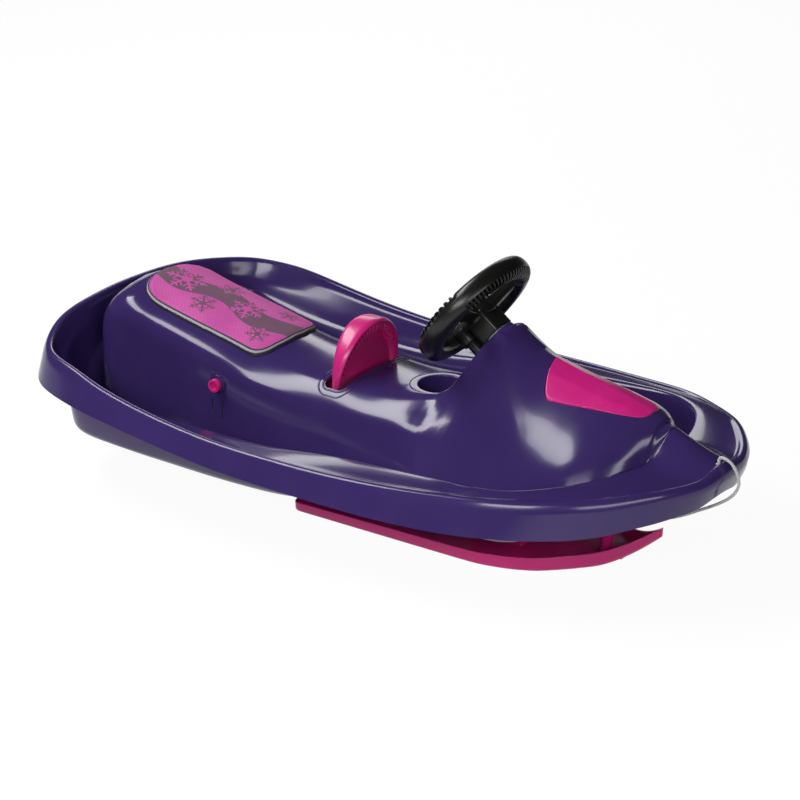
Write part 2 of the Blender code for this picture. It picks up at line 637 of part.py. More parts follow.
def ski_half_width(x):
    """Half-width of the ski at x: parallel behind, then an arch to the pointed tip."""
    xs = (SKI_REAR, 0.16, 0.20, 0.238, 0.280, 0.306, 0.325, 0.350, 0.385, SKI_TIP)
    ys = (1.0, 1.0, 0.995, 0.94, 0.80, 0.62, 0.47, 0.35, 0.17, 0.012)
    return SKI_HALF_WIDTH * smooth(xs, ys, x)


def ski_rise(x):
    """Height of the ski's underside at x."""
    share = max(0.0, x - SKI_RISE_START) / (SKI_TIP - SKI_RISE_START)
    return SKI_TIP_RISE * share ** 1.8


def ski_mesh():
    """Open tray with a flat floor, low walls and a drawn-up tip."""
    stations = (SKI_REAR, SKI_REAR + 0.004, SKI_REAR + 0.016, 0.05, 0.16, 0.20, 0.238, 0.262, 0.280, 0.294,
                0.306, 0.316, 0.325, 0.337, 0.350, 0.367, 0.385, 0.402, SKI_TIP)
    rings = []
    for x in stations:
        half = ski_half_width(x)
        if x < SKI_REAR + 0.01:
            half -= 0.012 if x == SKI_REAR else 0.0045
        base = ski_rise(x)
        inner = max(half - SKI_WALL, half * 0.3)
        slim = max(half - 0.0045, half * 0.5)
        end = x <= SKI_REAR or x >= SKI_TIP
        depth = SKI_DEPTH + (SKI_FRONT_DEPTH - SKI_DEPTH) * (x - SKI_REAR) / (SKI_TIP - SKI_REAR)
        floor = base + (depth - 0.0005 if end else SKI_FLOOR)
        top = base + depth
        ring = [(x, -slim, base), (x, -half, base + 0.003), (x, -half - 0.001, top),
                (x, -inner - 0.0005, top), (x, -inner, floor), (x, 0.0, floor)]
        ring += [(a, -b, c) for a, b, c in ring[:-1][::-1]]
        rings.append(ring)
    first, last = rings[0], rings[-1]
    rings.insert(1, [(first[0][0] + SKI_WALL, y, z) for _, y, z in first])
    rings.insert(-1, [(last[0][0] - 0.006, y * 1.6, z - 0.0025) for _, y, z in last])
    return loft("front_ski", rings)


def build_ski(looks):
    """Ski with post and bracket, mast, kingpin and what fastens them, on the kingpin's axis."""
    axis = empty("ski_axis", (KINGPIN_X, 0.0, 0.0))
    back = empty("ski_origin", (-KINGPIN_X, 0.0, 0.0))
    back.parent = axis
    ski = add_object("front_ski", ski_mesh(), looks["pink"], back)
    post = ((POST_RADIUS + 0.003, 0.002), (POST_RADIUS, 0.012), (POST_RADIUS, POST_TOP))
    join(ski, turned("post", post, 24, (KINGPIN_X, 0.0)), back)
    rear = MAST_X - BRACKET_LENGTH / 2
    front = MAST_X + BRACKET_LENGTH / 2
    outline = ((rear - 0.010, 0.002), (front + 0.008, 0.002), (front, BRACKET_TOP), (rear, BRACKET_TOP))
    join(ski, extruded("bracket", outline, -BRACKET_HALF_WIDTH, BRACKET_HALF_WIDTH, "Y"), back)
    for side in (1, -1):
        join(ski, box("tip_rib", (0.368, min(side * 0.001, side * 0.026), ski_rise(0.369) + 0.001),
                      (0.3705, max(side * 0.001, side * 0.026), ski_rise(0.369) + 0.0125)), back)
    cut(ski, turned("post_bore", ((KINGPIN_RADIUS + GAP, 0.010), (KINGPIN_RADIUS + GAP, POST_TOP + 0.01)), 16,
                    (KINGPIN_X, 0.0)), back)
    screws = [MAST_X - 0.021, MAST_X + 0.021]
    for x in screws:
        bore = ((SCREW_RADIUS + GAP, BRACKET_TOP - 0.017), (SCREW_RADIUS + GAP, BRACKET_TOP + 0.01))
        cut(ski, turned("screw_bore", bore, 12, (x, 0.0)), back)
    build_mast(looks, back, screws)
    build_kingpin(looks, back)
    return axis


def build_mast(looks, back, screws):
    """Mast with its foot screwed to the bracket and a fork at the top round the crank rod."""
    foot = BRACKET_TOP + GAP
    inner = CRANK_RADIUS + FORK_PLAY
    outer = inner + 0.0075
    outline = ((-0.020, foot), (0.020, foot), (0.020, foot + 0.006), (0.013, foot + 0.014), (0.011, 0.150),
               (outer, FORK_CROTCH), (outer, FORK_TOP - 0.003), (outer - 0.003, FORK_TOP),
               (inner + 0.001, FORK_TOP), (inner, FORK_TOP - 0.004), (inner, FORK_CROTCH + 0.004),
               (inner - 0.006, FORK_CROTCH), (-inner + 0.006, FORK_CROTCH), (-inner, FORK_CROTCH + 0.004),
               (-inner, FORK_TOP - 0.004), (-inner - 0.001, FORK_TOP), (-outer + 0.003, FORK_TOP),
               (-outer, FORK_TOP - 0.003), (-outer, FORK_CROTCH), (-0.011, 0.150), (-0.013, foot + 0.014),
               (-0.020, foot + 0.006))
    blade = extruded("steering_mast", outline, MAST_X - 0.005, MAST_X + 0.005, "X")
    mast = add_object("steering_mast", blade, looks["steel"], back)
    join(mast, box("foot", (MAST_X - 0.029, -0.0195, foot), (MAST_X + 0.029, 0.0195, foot + 0.005)), back)
    stay = ((MAST_X - 0.012, foot + 0.002), (MAST_X + 0.012, foot + 0.002), (MAST_X + 0.006, 0.140),
            (MAST_X - 0.006, 0.140))
    join(mast, extruded("stay", stay, -0.0035, 0.0035, "Y"), back)
    for number, x in enumerate(screws):
        cut(mast, turned("screw_hole", ((0.0026, foot - 0.01), (0.0026, foot + 0.02)), 12, (x, 0.0)), back)
        screw = ((0.0018, BRACKET_TOP - 0.0165), (SCREW_RADIUS, BRACKET_TOP - 0.014),
                 (SCREW_RADIUS, foot + 0.005 + GAP),
                 (0.0048, foot + 0.005 + GAP), (0.0048, foot + 0.0072), (0.0030, foot + 0.0085))
        name = ("mast_screw_rear", "mast_screw_front")[number]
        add_object(name, turned(name, screw, 12, (x, 0.0)), looks["steel"], back)


def build_kingpin(looks, back):
    """Kingpin in the ski's post with two flanged bushes in the hull's boss, washer and nut."""
    centre = (KINGPIN_X, 0.0)
    inner = KINGPIN_RADIUS + GAP
    body = KING_BUSH_RADIUS
    low = POST_TOP + 0.0035
    top = BOSS_TOP + 0.0003
    pin = ((KINGPIN_RADIUS - 0.001, 0.0103), (KINGPIN_RADIUS, 0.0115), (KINGPIN_RADIUS, 0.2085),
           (KINGPIN_RADIUS - 0.001, 0.2095))
    add_object("kingpin", turned("kingpin", pin, 16, centre), looks["steel"], back)
    lower = ((body, low + 0.026), (inner, low + 0.026), (inner, POST_TOP + GAP), (0.0135, POST_TOP + GAP),
             (0.0135, low - GAP), (body, low - GAP), (body, low + 0.026))
    add_object("kingpin_bush_lower", turned("kingpin_bush_lower", lower[::-1], 24, centre), looks["natural"])
    upper = ((body, top - 0.026), (body, top), (0.0135, top), (0.0135, top + 0.0025), (inner, top + 0.0025),
             (inner, top - 0.026), (body, top - 0.026))
    add_object("kingpin_bush_upper", turned("kingpin_bush_upper", upper, 24, centre), looks["natural"])
    washer = top + 0.0025 + GAP
    add_object("kingpin_washer", tube("kingpin_washer", inner, 0.0105, washer, washer + 0.0016, 24, centre),
               looks["steel"], back)
    seat = washer + 0.0016 + GAP
    body = turned("kingpin_nut", ((0.0092, seat), (0.0092, washer + 0.0096)), 6, centre)
    nut = add_object("kingpin_nut", body, looks["steel"], back)
    cut(nut, turned("nut_bore", ((inner, washer - 0.01), (inner, washer + 0.02)), 16, centre), back)


def arch_point(share, inset=0.0):
    """Point (y, z) of the brake handle's arch; share runs from 0 at one foot to 1 at the other."""
    half = BRAKE_HALF_WIDTH - inset
    height = BRAKE_TOP - 0.168 - inset
    a = math.pi * share
    y = half * math.copysign(abs(math.cos(a)) ** 0.80, math.cos(a))
    return y, 0.168 + height * math.sin(a) ** 0.80


def handle_mesh():
    """The handle's arch: a lip that is deepest at the top, swept over the D outline."""
    rings = []
    steps = 24
    for i in range(steps + 1):
        share = i / steps
        crown = math.sin(math.pi * share)
        front = BRAKE_X + 0.0015 + 0.0155 * crown
        rear = BRAKE_X - 0.008 - 0.010 * crown
        outer = arch_point(share)
        middle = arch_point(share, 0.003)
        inner = arch_point(share, 0.011)
        rings.append([(front, *middle), (front - 0.004, *outer), (rear + 0.004, *outer), (rear, *middle),
                      (rear + 0.003, *inner), (front - 0.003, *inner)])
    return loft("brake_lever", rings)


def build_brake(looks):
    """Brake lever with handle, arms and pivot tube, its claws and the two pivot pins."""
    axis = empty("brake_axis", (PIVOT_X, 0.0, PIVOT_Z))
    back = empty("brake_origin", (-PIVOT_X, 0.0, -PIVOT_Z))
    back.parent = axis
    lever = add_object("brake_lever", handle_mesh(), looks["pink"], back)
    web = [arch_point(i / 16, 0.006) for i in range(17)]
    web = [(min(max(y, -0.064), 0.064), z) for y, z in web]
    web[0] = (0.064, 0.098)
    web[-1] = (-0.064, 0.098)
    join(lever, extruded("web", web, BRAKE_X - 0.007, BRAKE_X - 0.001, "X"), back)
    for i in range(13):
        y, z = arch_point(0.20 + 0.60 * i / 12, 0.0095)
        low, high = (BRAKE_X - 0.002, y - 0.0013, z - 0.005), (BRAKE_X + 0.0125, y + 0.0013, z + 0.001)
        join(lever, box("finger_rib", low, high), back)
    arm = ((PIVOT_X - 0.100, 0.070), (PIVOT_X - 0.095, 0.088), (PIVOT_X - 0.012, PIVOT_Z + 0.004),
           (PIVOT_X + 0.012, PIVOT_Z + 0.004), (PIVOT_X + 0.045, 0.126), (BRAKE_X - 0.030, 0.113),
           (BRAKE_X - 0.003, 0.118), (BRAKE_X - 0.003, 0.101), (BRAKE_X - 0.035, 0.096),
           (PIVOT_X + 0.045, 0.103), (PIVOT_X - 0.006, PIVOT_Z - 0.012), (PIVOT_X - 0.085, 0.068))
    for side in (1, -1):
        low, high = sorted((side * 0.046, side * 0.053))
        join(lever, extruded("arm", arm, low, high, "Y"), back)
    hub = empty("hub_axis", (0.0, 0.0, 0.0), (-math.pi / 2, 0.0, 0.0))
    hub.parent = axis
    join(lever, turned("pivot_tube", ((0.0115, -LEVER_HALF_WIDTH), (0.0115, LEVER_HALF_WIDTH)), 20), hub)
    cut(lever, turned("pivot_bore", ((PIN_RADIUS + GAP, -LEVER_HALF_WIDTH - 0.01),
                                     (PIN_RADIUS + GAP, LEVER_HALF_WIDTH + 0.01)), 16), hub)
    build_claws(looks, back)
    build_pins(looks)
    return axis


def build_claws(looks, back):
    """Steel claws bolted flat to the outside of the lever's rear arms, with three teeth each."""
    rear = PIVOT_X - 0.112
    outline = [(rear + 0.034, 0.098), (rear + 0.012, 0.086), (rear - 0.004, 0.050), (rear - 0.010, 0.020)]
    for tooth in range(3):
        x = rear - 0.007 + tooth * 0.010
        outline += [(x, 0.012), (x + 0.005, 0.021)]
    outline += [(rear + 0.026, 0.030), (rear + 0.030, 0.062), (rear + 0.044, 0.078)]
    for side, name in ((1, "brake_claw_left"), (-1, "brake_claw_right")):
        low, high = sorted((side * (0.053 + GAP), side * 0.056))
        add_object(name, extruded(name, outline, low, high, "Y"), looks["steel"], back)


def build_pins(looks):
    """Pivot pins with a hollow head outside the spine's wall and a shank into the lever's tube."""
    head = PIN_SEAT + GAP
    profile = ((PIN_RADIUS - 0.001, 0.060), (PIN_RADIUS, 0.0615), (PIN_RADIUS, head), (PIN_HEAD_RADIUS, head),
               (PIN_HEAD_RADIUS, head + 0.006), (PIN_HEAD_RADIUS - 0.0012, head + 0.0075),
               (0.0050, head + 0.0075), (0.0050, head + 0.0025))
    for side, name in ((1, "brake_pin_left"), (-1, "brake_pin_right")):
        holder = empty(name + "_axis", (PIVOT_X, 0.0, PIVOT_Z), (-side * math.pi / 2, 0.0, 0.0))
        add_object(name, turned(name, profile, 16), looks["pink"], holder)


def sheet(name, columns, count, ends, height, low, high):
    """A thin solid that follows a height over a plan outline, given as its two ends at each y."""
    work = bmesh.new()
    layers = []
    for offset in (low, high):
        layer = []
        for y in columns:
            rear, front = ends(y)
            row = []
            for i in range(count + 1):
                x = rear + (front - rear) * i / count
                row.append(work.verts.new((lengthwise(x), y, height(x, y) + offset)))
            layer.append(row)
        layers.append(layer)
    bottom, top = layers
    for a, b in ((bottom, -1), (top, 1)):
        for row, following in zip(a, a[1:]):
            for i in range(count):
                corner = [row[i], row[i + 1], following[i + 1], following[i]]
                work.faces.new(corner if b < 0 else corner[::-1])
    border = [(0, i) for i in range(count + 1)]
    border += [(j, count) for j in range(1, len(columns))]
    border += [(len(columns) - 1, i) for i in range(count - 1, -1, -1)]
    border += [(j, 0) for j in range(len(columns) - 2, 0, -1)]
    for (a, b), (c, d) in zip(border, border[1:] + border[:1]):
        work.faces.new((bottom[a][b], bottom[c][d], top[c][d], top[a][b]))
    return finish_mesh(name, work, 30)


def pad_ends(y):
    share = min(abs(y) / PAD_HALF_WIDTH, 1.0)
    rear = PAD_REAR + 0.050 - 0.050 * (1 - share ** 2.4) ** (1 / 2.4)
    return rear, PAD_FRONT - 0.014 * share ** 2


def build_pad(look):
    columns = [PAD_HALF_WIDTH * math.sin(math.pi / 2 * i / 6) for i in range(-6, 7)]
    mesh = sheet("seat_pad", columns, 8, pad_ends, deck_height, PAD_GAP, PAD_GAP + PAD_THICKNESS)
    add_object("seat_pad", mesh, look)


def build_panel(look):
    columns = [PANEL_HALF_WIDTH * math.sin(math.pi / 2 * i / 6) for i in range(-6, 7)]
    mesh = sheet("hood_panel", columns, 7, panel_ends, deck_height, 0.0012 - PANEL_THICKNESS, 0.0012)
    add_object("hood_panel", mesh, look)


def cord_route():
    """Chosen points (x, z) of the cord, from its knot below the nose to the web behind the nose."""
    return ((CORD_HOLE_X, 0.1715), (CORD_HOLE_X, 0.1775), (0.4988, 0.1822), (0.5055, 0.1822),
            (0.5140, 0.1785), (0.5206, 0.1712), (0.5252, 0.1615), (0.5265, 0.1513), (0.5222, 0.1400), (0.5117, 0.1281),
            (0.4931, 0.1149), (0.4713, 0.1023), (0.4419, 0.0862), (0.4200, 0.0775), (0.4040, 0.0765),
            (0.3945, 0.0830), (0.3930, 0.0910), (0.3930, 0.0995))


def build_cord(look):
    route = [Vector((x, 0.0, z)) for x, z in cord_route()]
    points = []
    for i in range(len(route) - 1):
        before = route[max(i - 1, 0)]
        start, end = route[i], route[i + 1]
        after = route[min(i + 2, len(route) - 1)]
        for step in range(2):
            t = step / 2
            bend = 2 * before - 5 * start + 4 * end - after
            twist = 3 * start - before - 3 * end + after
            points.append(0.5 * (2 * start + (end - before) * t + bend * t ** 2 + twist * t ** 3))
    points.append(route[-1])
    curve = bpy.data.curves.new("pull_cord", "CURVE")
    curve.dimensions = "3D"
    curve.bevel_depth = CORD_RADIUS
    curve.bevel_resolution = 2
    curve.use_fill_caps = True
    line = curve.splines.new("POLY")
    line.points.add(len(points) - 1)
    for point, place in zip(line.points, points):
        point.co = (*place, 1.0)
    add_object("pull_cord", curve, look)


def build_knot(look):
    """Stop knot of the cord under the nose, as a plain ball."""
    work = bmesh.new()
    bmesh.ops.create_uvsphere(work, u_segments=12, v_segments=8, radius=0.0065)
    bmesh.ops.translate(work, verts=work.verts, vec=(CORD_HOLE_X, 0.0, 0.1715 - GAP - 0.0065))
    add_object("cord_knot", finish_mesh("cord_knot", work), look)


def main():
    for old in list(bpy.data.objects):
        bpy.data.objects.remove(old)
    looks = {
        "purple": material("hull_purple", (0.040, 0.022, 0.118), 0.22, coat=0.4),
        "pink": material("ski_pink", (0.60, 0.035, 0.20), 0.32, coat=0.2),
        "panel": material("panel_pink", (0.62, 0.03, 0.22), 0.20, coat=0.5),
        "pad": material("pad_foam", (0.56, 0.09, 0.36), 0.75),
        "black": material("wheel_black", (0.014, 0.014, 0.013), 0.38),
        "cap": material("cap_black", (0.018, 0.018, 0.017), 0.25),
        "steel": material("zinc_steel", (0.55, 0.56, 0.57), 0.35, 1.0),
        "natural": material("bush_nylon", (0.72, 0.70, 0.64), 0.45),
        "cord": material("cord_grey", (0.68, 0.68, 0.70), 0.8),
    }
    column = empty("column_axis", WHEEL_CENTRE, (0.0, COLUMN_TILT - math.pi / 2, 0.0))
    build_hull(looks["purple"], column)
    build_pad(looks["pad"])
    build_panel(looks["panel"])
    build_steering(looks, column)
    build_ski(looks)
    build_brake(looks)
    build_cord(looks["cord"])
    build_knot(looks["cord"])


main()
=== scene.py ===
"""Steering sled: hull, seat pad, hood panel, wheel, ski, brake and pull cord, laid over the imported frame."""
import json
import math

import bmesh
import bpy
import numpy as np
from bpy.props import FloatProperty, FloatVectorProperty, IntProperty, PointerProperty
from mathutils import Matrix, Vector
from mathutils.bvhtree import BVHTree

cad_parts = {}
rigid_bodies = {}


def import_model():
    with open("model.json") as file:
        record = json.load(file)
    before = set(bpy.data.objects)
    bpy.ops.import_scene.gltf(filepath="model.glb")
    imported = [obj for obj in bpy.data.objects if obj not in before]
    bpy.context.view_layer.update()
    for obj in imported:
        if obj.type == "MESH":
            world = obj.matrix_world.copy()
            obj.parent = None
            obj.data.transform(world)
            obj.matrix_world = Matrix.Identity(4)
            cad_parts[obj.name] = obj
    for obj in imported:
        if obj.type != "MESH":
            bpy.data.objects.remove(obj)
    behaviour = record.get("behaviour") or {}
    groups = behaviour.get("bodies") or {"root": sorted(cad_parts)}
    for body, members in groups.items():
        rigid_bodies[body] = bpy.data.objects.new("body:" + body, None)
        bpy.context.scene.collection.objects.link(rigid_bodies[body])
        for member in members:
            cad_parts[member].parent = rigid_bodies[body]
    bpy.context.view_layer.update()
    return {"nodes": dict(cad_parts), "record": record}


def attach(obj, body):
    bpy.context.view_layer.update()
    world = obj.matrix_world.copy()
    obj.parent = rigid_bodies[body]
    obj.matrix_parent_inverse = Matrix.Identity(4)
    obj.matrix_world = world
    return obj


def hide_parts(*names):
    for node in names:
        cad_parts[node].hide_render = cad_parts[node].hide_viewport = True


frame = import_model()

bl_info = {
    "name": "Steering sled",
    "version": (1, 0, 0),
    "blender": (4, 5, 0),
    "location": "View3D > Sidebar > Sled",
    "description": "Builds a moulded steering sled with its wheel, ski, brake and pull cord",
    "category": "Object",
}

# Overall sizes of the hull.
TAIL_LENGTH = 0.507        # origin to the rear rim
NOSE_LENGTH = 0.513        # origin to the nose lip
HALF_WIDTH = 0.2755        # centre plane to the widest part of the rim
GAP = 0.0003               # clearance between seated pieces
HULL_FINE = 10             # lines of the hull's surface per station
RIM_ROWS = 44              # points of such a line on rim, ledge and well; the rest are the spine's
MERGE = 2e-6               # points closer than this become one
MIRROR_MERGE = 2e-5
HOOD_TOP = 0.28            # faces above this height look up
LONG_EDGE = 0.05           # edges longer than this don't count for wear
FULL_BEND = 0.8            # radians that count as a sharp edge
SIDES = ((1, "left"), (-1, "right"))

# The tables below are drawn for these sizes. A changed size stretches only what lies beyond the first of each
# two numbers; the second is how much of the drawing lies there.
TAIL_FIXED, TAIL_DRAWN = -0.2, 0.307
NOSE_FIXED, NOSE_DRAWN = 0.40, 0.113
SIDE_FIXED, SIDE_DRAWN = 0.12, 0.1555

# Rim and skirt.
RIM_WIDTH = 0.016
RIM_DROP = 0.010
NOSE_RIDGE = 0.046         # rise of the nose ridge where it meets the hood
NOSE_RIDGE_WIDTH = 0.046
NOSE_RIDGE_START = 0.405
# x, share of the ridge's rise
NOSE_RIDGE_RUN = ((0.400, 0.90), (0.430, 0.90), (0.455, 0.62), (0.496, 0.24), (0.513, 0.04))

# Steering.
WHEEL_CENTRE = (0.1184, 0.0, 0.3019)
COLUMN_TILT = math.radians(36)   # column below the horizontal, going forward
WHEEL_RADIUS = 0.0775            # to the middle of the ring
RING_RADIAL = 0.0145
RING_DEEP = 0.0155
RING_POWER = 0.85                # 1 gives a round section, less a squarer one
SPOKE_TURNS = (180, 72, -72)     # degrees from the top of the wheel
COMB_TURN = 56                   # degrees to each side of the top that the ring is open over
COMB_SECTION = (168, 328)        # degrees round the section where it is open
COMB_DEPTH = 0.42
THUMB_TURNS = (58, 122)          # degrees from the top where the thumb ribs' seat lies, on both sides
THUMB_SECTION = (22, 160)        # and the part of the section that is lower there
THUMB_DEPTH = 0.13
HUB_RADIUS = 0.0228
COLLAR_RADIUS = 0.0240
HUB_END = 0.0455                 # depth below the wheel centre where the hub ends
SHAFT_RADIUS = 0.011
BUSH_WALL = 0.003
SHAFT_BORE = SHAFT_RADIUS + GAP + BUSH_WALL
SLEEVE_WALL = 0.0045
SLEEVE_START = HUB_END + 0.0024
SLEEVE_END = 0.108
CRANK_REACH = 0.041
CRANK_RADIUS = 0.0095
CRANK_END = 0.133
CRANK_PLAY = 0.0012              # round the crank rod in its slot
WHEEL_TURN = math.radians(30)
SLOT_OVERTURN = math.radians(2)

# Ski.
SKI_HALF_WIDTH = 0.1255
SKI_REAR = -0.0945
SKI_TIP = 0.416
SKI_FLOOR = 0.004
SKI_WALL = 0.0035
SKI_DEPTH = 0.0150               # height of the walls at the rear
SKI_FRONT_DEPTH = 0.0220
SKI_RISE_START = 0.315
SKI_TIP_RISE = 0.0405
KINGPIN_X = 0.331
KINGPIN_RADIUS = 0.005
POST_RADIUS = 0.0088
POST_TOP = 0.056
BOSS_RADIUS = 0.016
BOSS_TOP = 0.190
KING_BUSH_RADIUS = 0.0092
MAST_X = 0.190
BRACKET_TOP = 0.048
BRACKET_LENGTH = 0.062
BRACKET_HALF_WIDTH = 0.048
SKI_TIP_START = 0.345            # x from which the tip's walls get lower
SKI_TIP_TAPER = 0.0095
SKI_REAR_ROUND = 0.012

# Brake.
BRAKE_X = -0.058
BRAKE_HALF_WIDTH = 0.071
BRAKE_TOP = 0.2505
ARCH_FOOT = 0.168                # height where the handle's arch springs
HANDLE_FRONT = 0.0015            # how far its front edge lies forward at the feet, and how much more on top
HANDLE_CROWN = 0.0155
SLOT_PLAY = 0.0045               # beside the handle's feet
SLOT_REAR = 0.021
SLOT_FRONT = 0.014
SLOT_CORNER = 0.010
PIVOT_X = -0.240
PIVOT_Z = 0.1435
PIN_RADIUS = 0.0055
PIN_HEAD_RADIUS = 0.0095
PIN_SEAT = 0.1025                # distance of the pin seats from the centre plane
LEVER_HALF_WIDTH = 0.084

# Level stretch of the deck round the handle's slot.
PLATEAU_X = BRAKE_X - 0.003
PLATEAU_TOP = 0.1815
PLATEAU_SAG = 0.0035             # lower by this much at the slot's ends
PLATEAU_REACH = 0.075            # how far it goes along the hull
PLATEAU_EDGE = 0.108             # where it ends across the hull, and how wide it fades there
PLATEAU_FADE = 0.034
PLATEAU_LIFT = 0.014             # the most that the deck is lifted, before the share
PLATEAU_SHARE = 0.7

# Cup holder, seat pad and hood panel.
CUP_X = 0.065
CUP_RADIUS = 0.0317
CUP_RIM_RADIUS = 0.044
CUP_TOP = 0.1825
CUP_FLOOR = 0.116
PAD_HALF_WIDTH = 0.070
PAD_REAR = -0.416
PAD_FRONT = -0.180
PAD_THICKNESS = 0.007
LAID = 0.0004                    # the pad's underside above the hull's surface
PAD_ROUND = 0.0052               # width of the pad's rounded edge
PAD_SWELL = 0.030                # distance from the edge over which its top still rises
PAD_GROOVE = 0.0062              # distance of the groove from the edge
PAD_GROOVE_WIDTH = 0.0011
PAD_LINES = (0.0010, 0.0026, 0.0044)   # distances from the edge where the border's lines change: painted shade at the very edge, then a pale printed line, then a dark printed line
PANEL_HALF_WIDTH = 0.050
PANEL_REAR = 0.247
PANEL_CORNER = PANEL_REAR + 0.025
PANEL_ROUND = 0.0016
PANEL_TIP = 0.398
PANEL_THICKNESS = 0.003
PANEL_GAP = 0.0008

# Pull cord.
CORD_RADIUS = 0.0021
CORD_HOLE_X = 0.4963
CORD_HOLE_RADIUS = 0.0045
CORD_START = 0.1715              # height where the cord leaves its knot
CORD_ROUTE = (                   # x, height
    (CORD_HOLE_X, CORD_START), (CORD_HOLE_X, 0.1775), (0.4988, 0.1822), (0.5055, 0.1822),
    (0.5140, 0.1785), (0.5206, 0.1712), (0.5252, 0.1615), (0.5265, 0.1513), (0.5222, 0.1400),
    (0.5117, 0.1281), (0.4931, 0.1149), (0.4713, 0.1023), (0.4419, 0.0862), (0.4200, 0.0775),
    (0.4040, 0.0765), (0.3945, 0.0830), (0.3930, 0.0910), (0.3930, 0.0995),
)

# Stage: lamps (name, place, size, watts), all turned to a spot above the origin, and the photograph's camera.
LAMPS = (
    ("overhead_box", (-1.45, -0.62, 2.25), (2.3, 0.62), 50.0),
    ("back_box", (-1.60, 2.25, 1.25), (1.5, 0.62), 9.0),
    ("nose_box", (0.45, -2.3, 1.35), (1.3, 0.5), 22.0),
    ("fill_box", (2.6, -1.6, 1.3), (2.5, 0.50), 24.0),
)
LAMP_TARGET = (0.0, 0.0, 0.1)
CAMERA_TARGET = (-0.0034, 0.0, 0.1429)
CAMERA_AZIMUTH = math.radians(35.558)
CAMERA_ELEVATION = math.radians(22.119)
CAMERA_DISTANCE = 4.5
CAMERA_LENS, CAMERA_SENSOR = 148.93, 36.0
PAPER = (0.80, 0.80, 0.80, 1.0)
WHITE = (1.0, 1.0, 1.0, 1.0)
GLOW = 1.06
GLOW_SEEN, GLOW_MIRRORED = 0.89, 0.55      # share of the glow that the camera and the reflections get
# Strength of the surround in reflections: To Min up to the height From Min, To Max from the height From Max.
HORIZON = {"From Min": 0.22, "From Max": 0.44, "To Min": 0.62, "To Max": 0.30}

# Stations round the hull, from the middle of the rear to the middle of the nose.
# Rim: x, half-width, height, height of the skirt's lower edge, flare of the skirt.
RIM = (
    (-0.507, 0.000, 0.2080, 0.152, 0.013), (-0.5018, 0.0741, 0.2075, 0.152, 0.013),
    (-0.4935, 0.1315, 0.2045, 0.152, 0.012), (-0.468, 0.192, 0.1990, 0.151, 0.010),
    (-0.429, 0.2395, 0.1925, 0.1465, 0.010), (-0.371, 0.2575, 0.1865, 0.1415, 0.012),
    (-0.308, 0.2685, 0.1725, 0.137, 0.012), (-0.200, 0.273, 0.1545, 0.1245, 0.012),
    (-0.090, 0.2755, 0.1455, 0.1147, 0.012), (0.030, 0.2735, 0.1445, 0.1106, 0.012),
    (0.154, 0.264, 0.1475, 0.1059, 0.012), (0.240, 0.2505, 0.1520, 0.1055, 0.012),
    (0.313, 0.236, 0.1565, 0.110, 0.010), (0.379, 0.204, 0.1600, 0.1114, 0.006),
    (0.429, 0.1705, 0.1630, 0.1180, 0.004), (0.464, 0.130, 0.1655, 0.1249, 0.002),
    (0.4935, 0.0845, 0.1665, 0.1256, -0.009), (0.509, 0.041, 0.1667, 0.1262, -0.012),
    (0.513, 0.000, 0.1675, 0.1258, -0.011),
)
# Inner edge of the ledge inside the rim: x, half-width, height.
LEDGE = (
    (-0.4895, 0.000, 0.180), (-0.4845, 0.072, 0.179), (-0.474, 0.121, 0.174), (-0.449, 0.172, 0.166),
    (-0.415, 0.208, 0.152), (-0.366, 0.210, 0.139), (-0.300, 0.206, 0.130), (-0.200, 0.203, 0.1275),
    (-0.090, 0.202, 0.1275), (0.030, 0.205, 0.1430), (0.140, 0.207, 0.1495), (0.234, 0.207, 0.1545),
    (0.300, 0.200, 0.1590), (0.355, 0.170, 0.1655), (0.385, 0.130, 0.1675), (0.402, 0.093, 0.1675),
    (0.414, 0.053, 0.1675), (0.424, 0.023, 0.1675), (0.430, 0.000, 0.1675),
)
# Foot of the spine and hood: x, half-width, height of the well's floor.
FOOT = (
    (-0.478, 0.000, 0.150), (-0.475, 0.045, 0.140), (-0.470, 0.070, 0.100), (-0.459, 0.088, 0.066),
    (-0.436, 0.099, 0.0585), (-0.385, 0.104, 0.0495), (-0.300, 0.105, 0.0380), (-0.200, 0.106, 0.034),
    (-0.090, 0.110, 0.037), (0.030, 0.118, 0.060), (0.140, 0.132, 0.064), (0.210, 0.142, 0.068),
    (0.270, 0.146, 0.072), (0.325, 0.138, 0.095), (0.365, 0.115, 0.125), (0.392, 0.085, 0.145),
    (0.410, 0.050, 0.160), (0.422, 0.022, 0.188), (0.428, 0.000, 0.2085),
)
# Height of the centre line along the spine and hood.
CREST = (
    (-0.478, 0.150), (-0.470, 0.198), (-0.458, 0.2225), (-0.440, 0.234), (-0.416, 0.2412),
    (-0.355, 0.2285), (-0.258, 0.2085), (-0.180, 0.1925), (-0.120, 0.185), (-0.058, 0.182),
    (0.000, 0.182), (0.065, 0.1855), (0.100, 0.1905), (0.110, 0.204), (0.156, 0.274),
    (0.172, 0.2920), (0.180, 0.2935), (0.190, 0.2875), (0.205, 0.2800), (0.247, 0.2625), (0.300, 0.2483),
    (0.350, 0.2358), (0.398, 0.2215), (0.428, 0.2085),
)
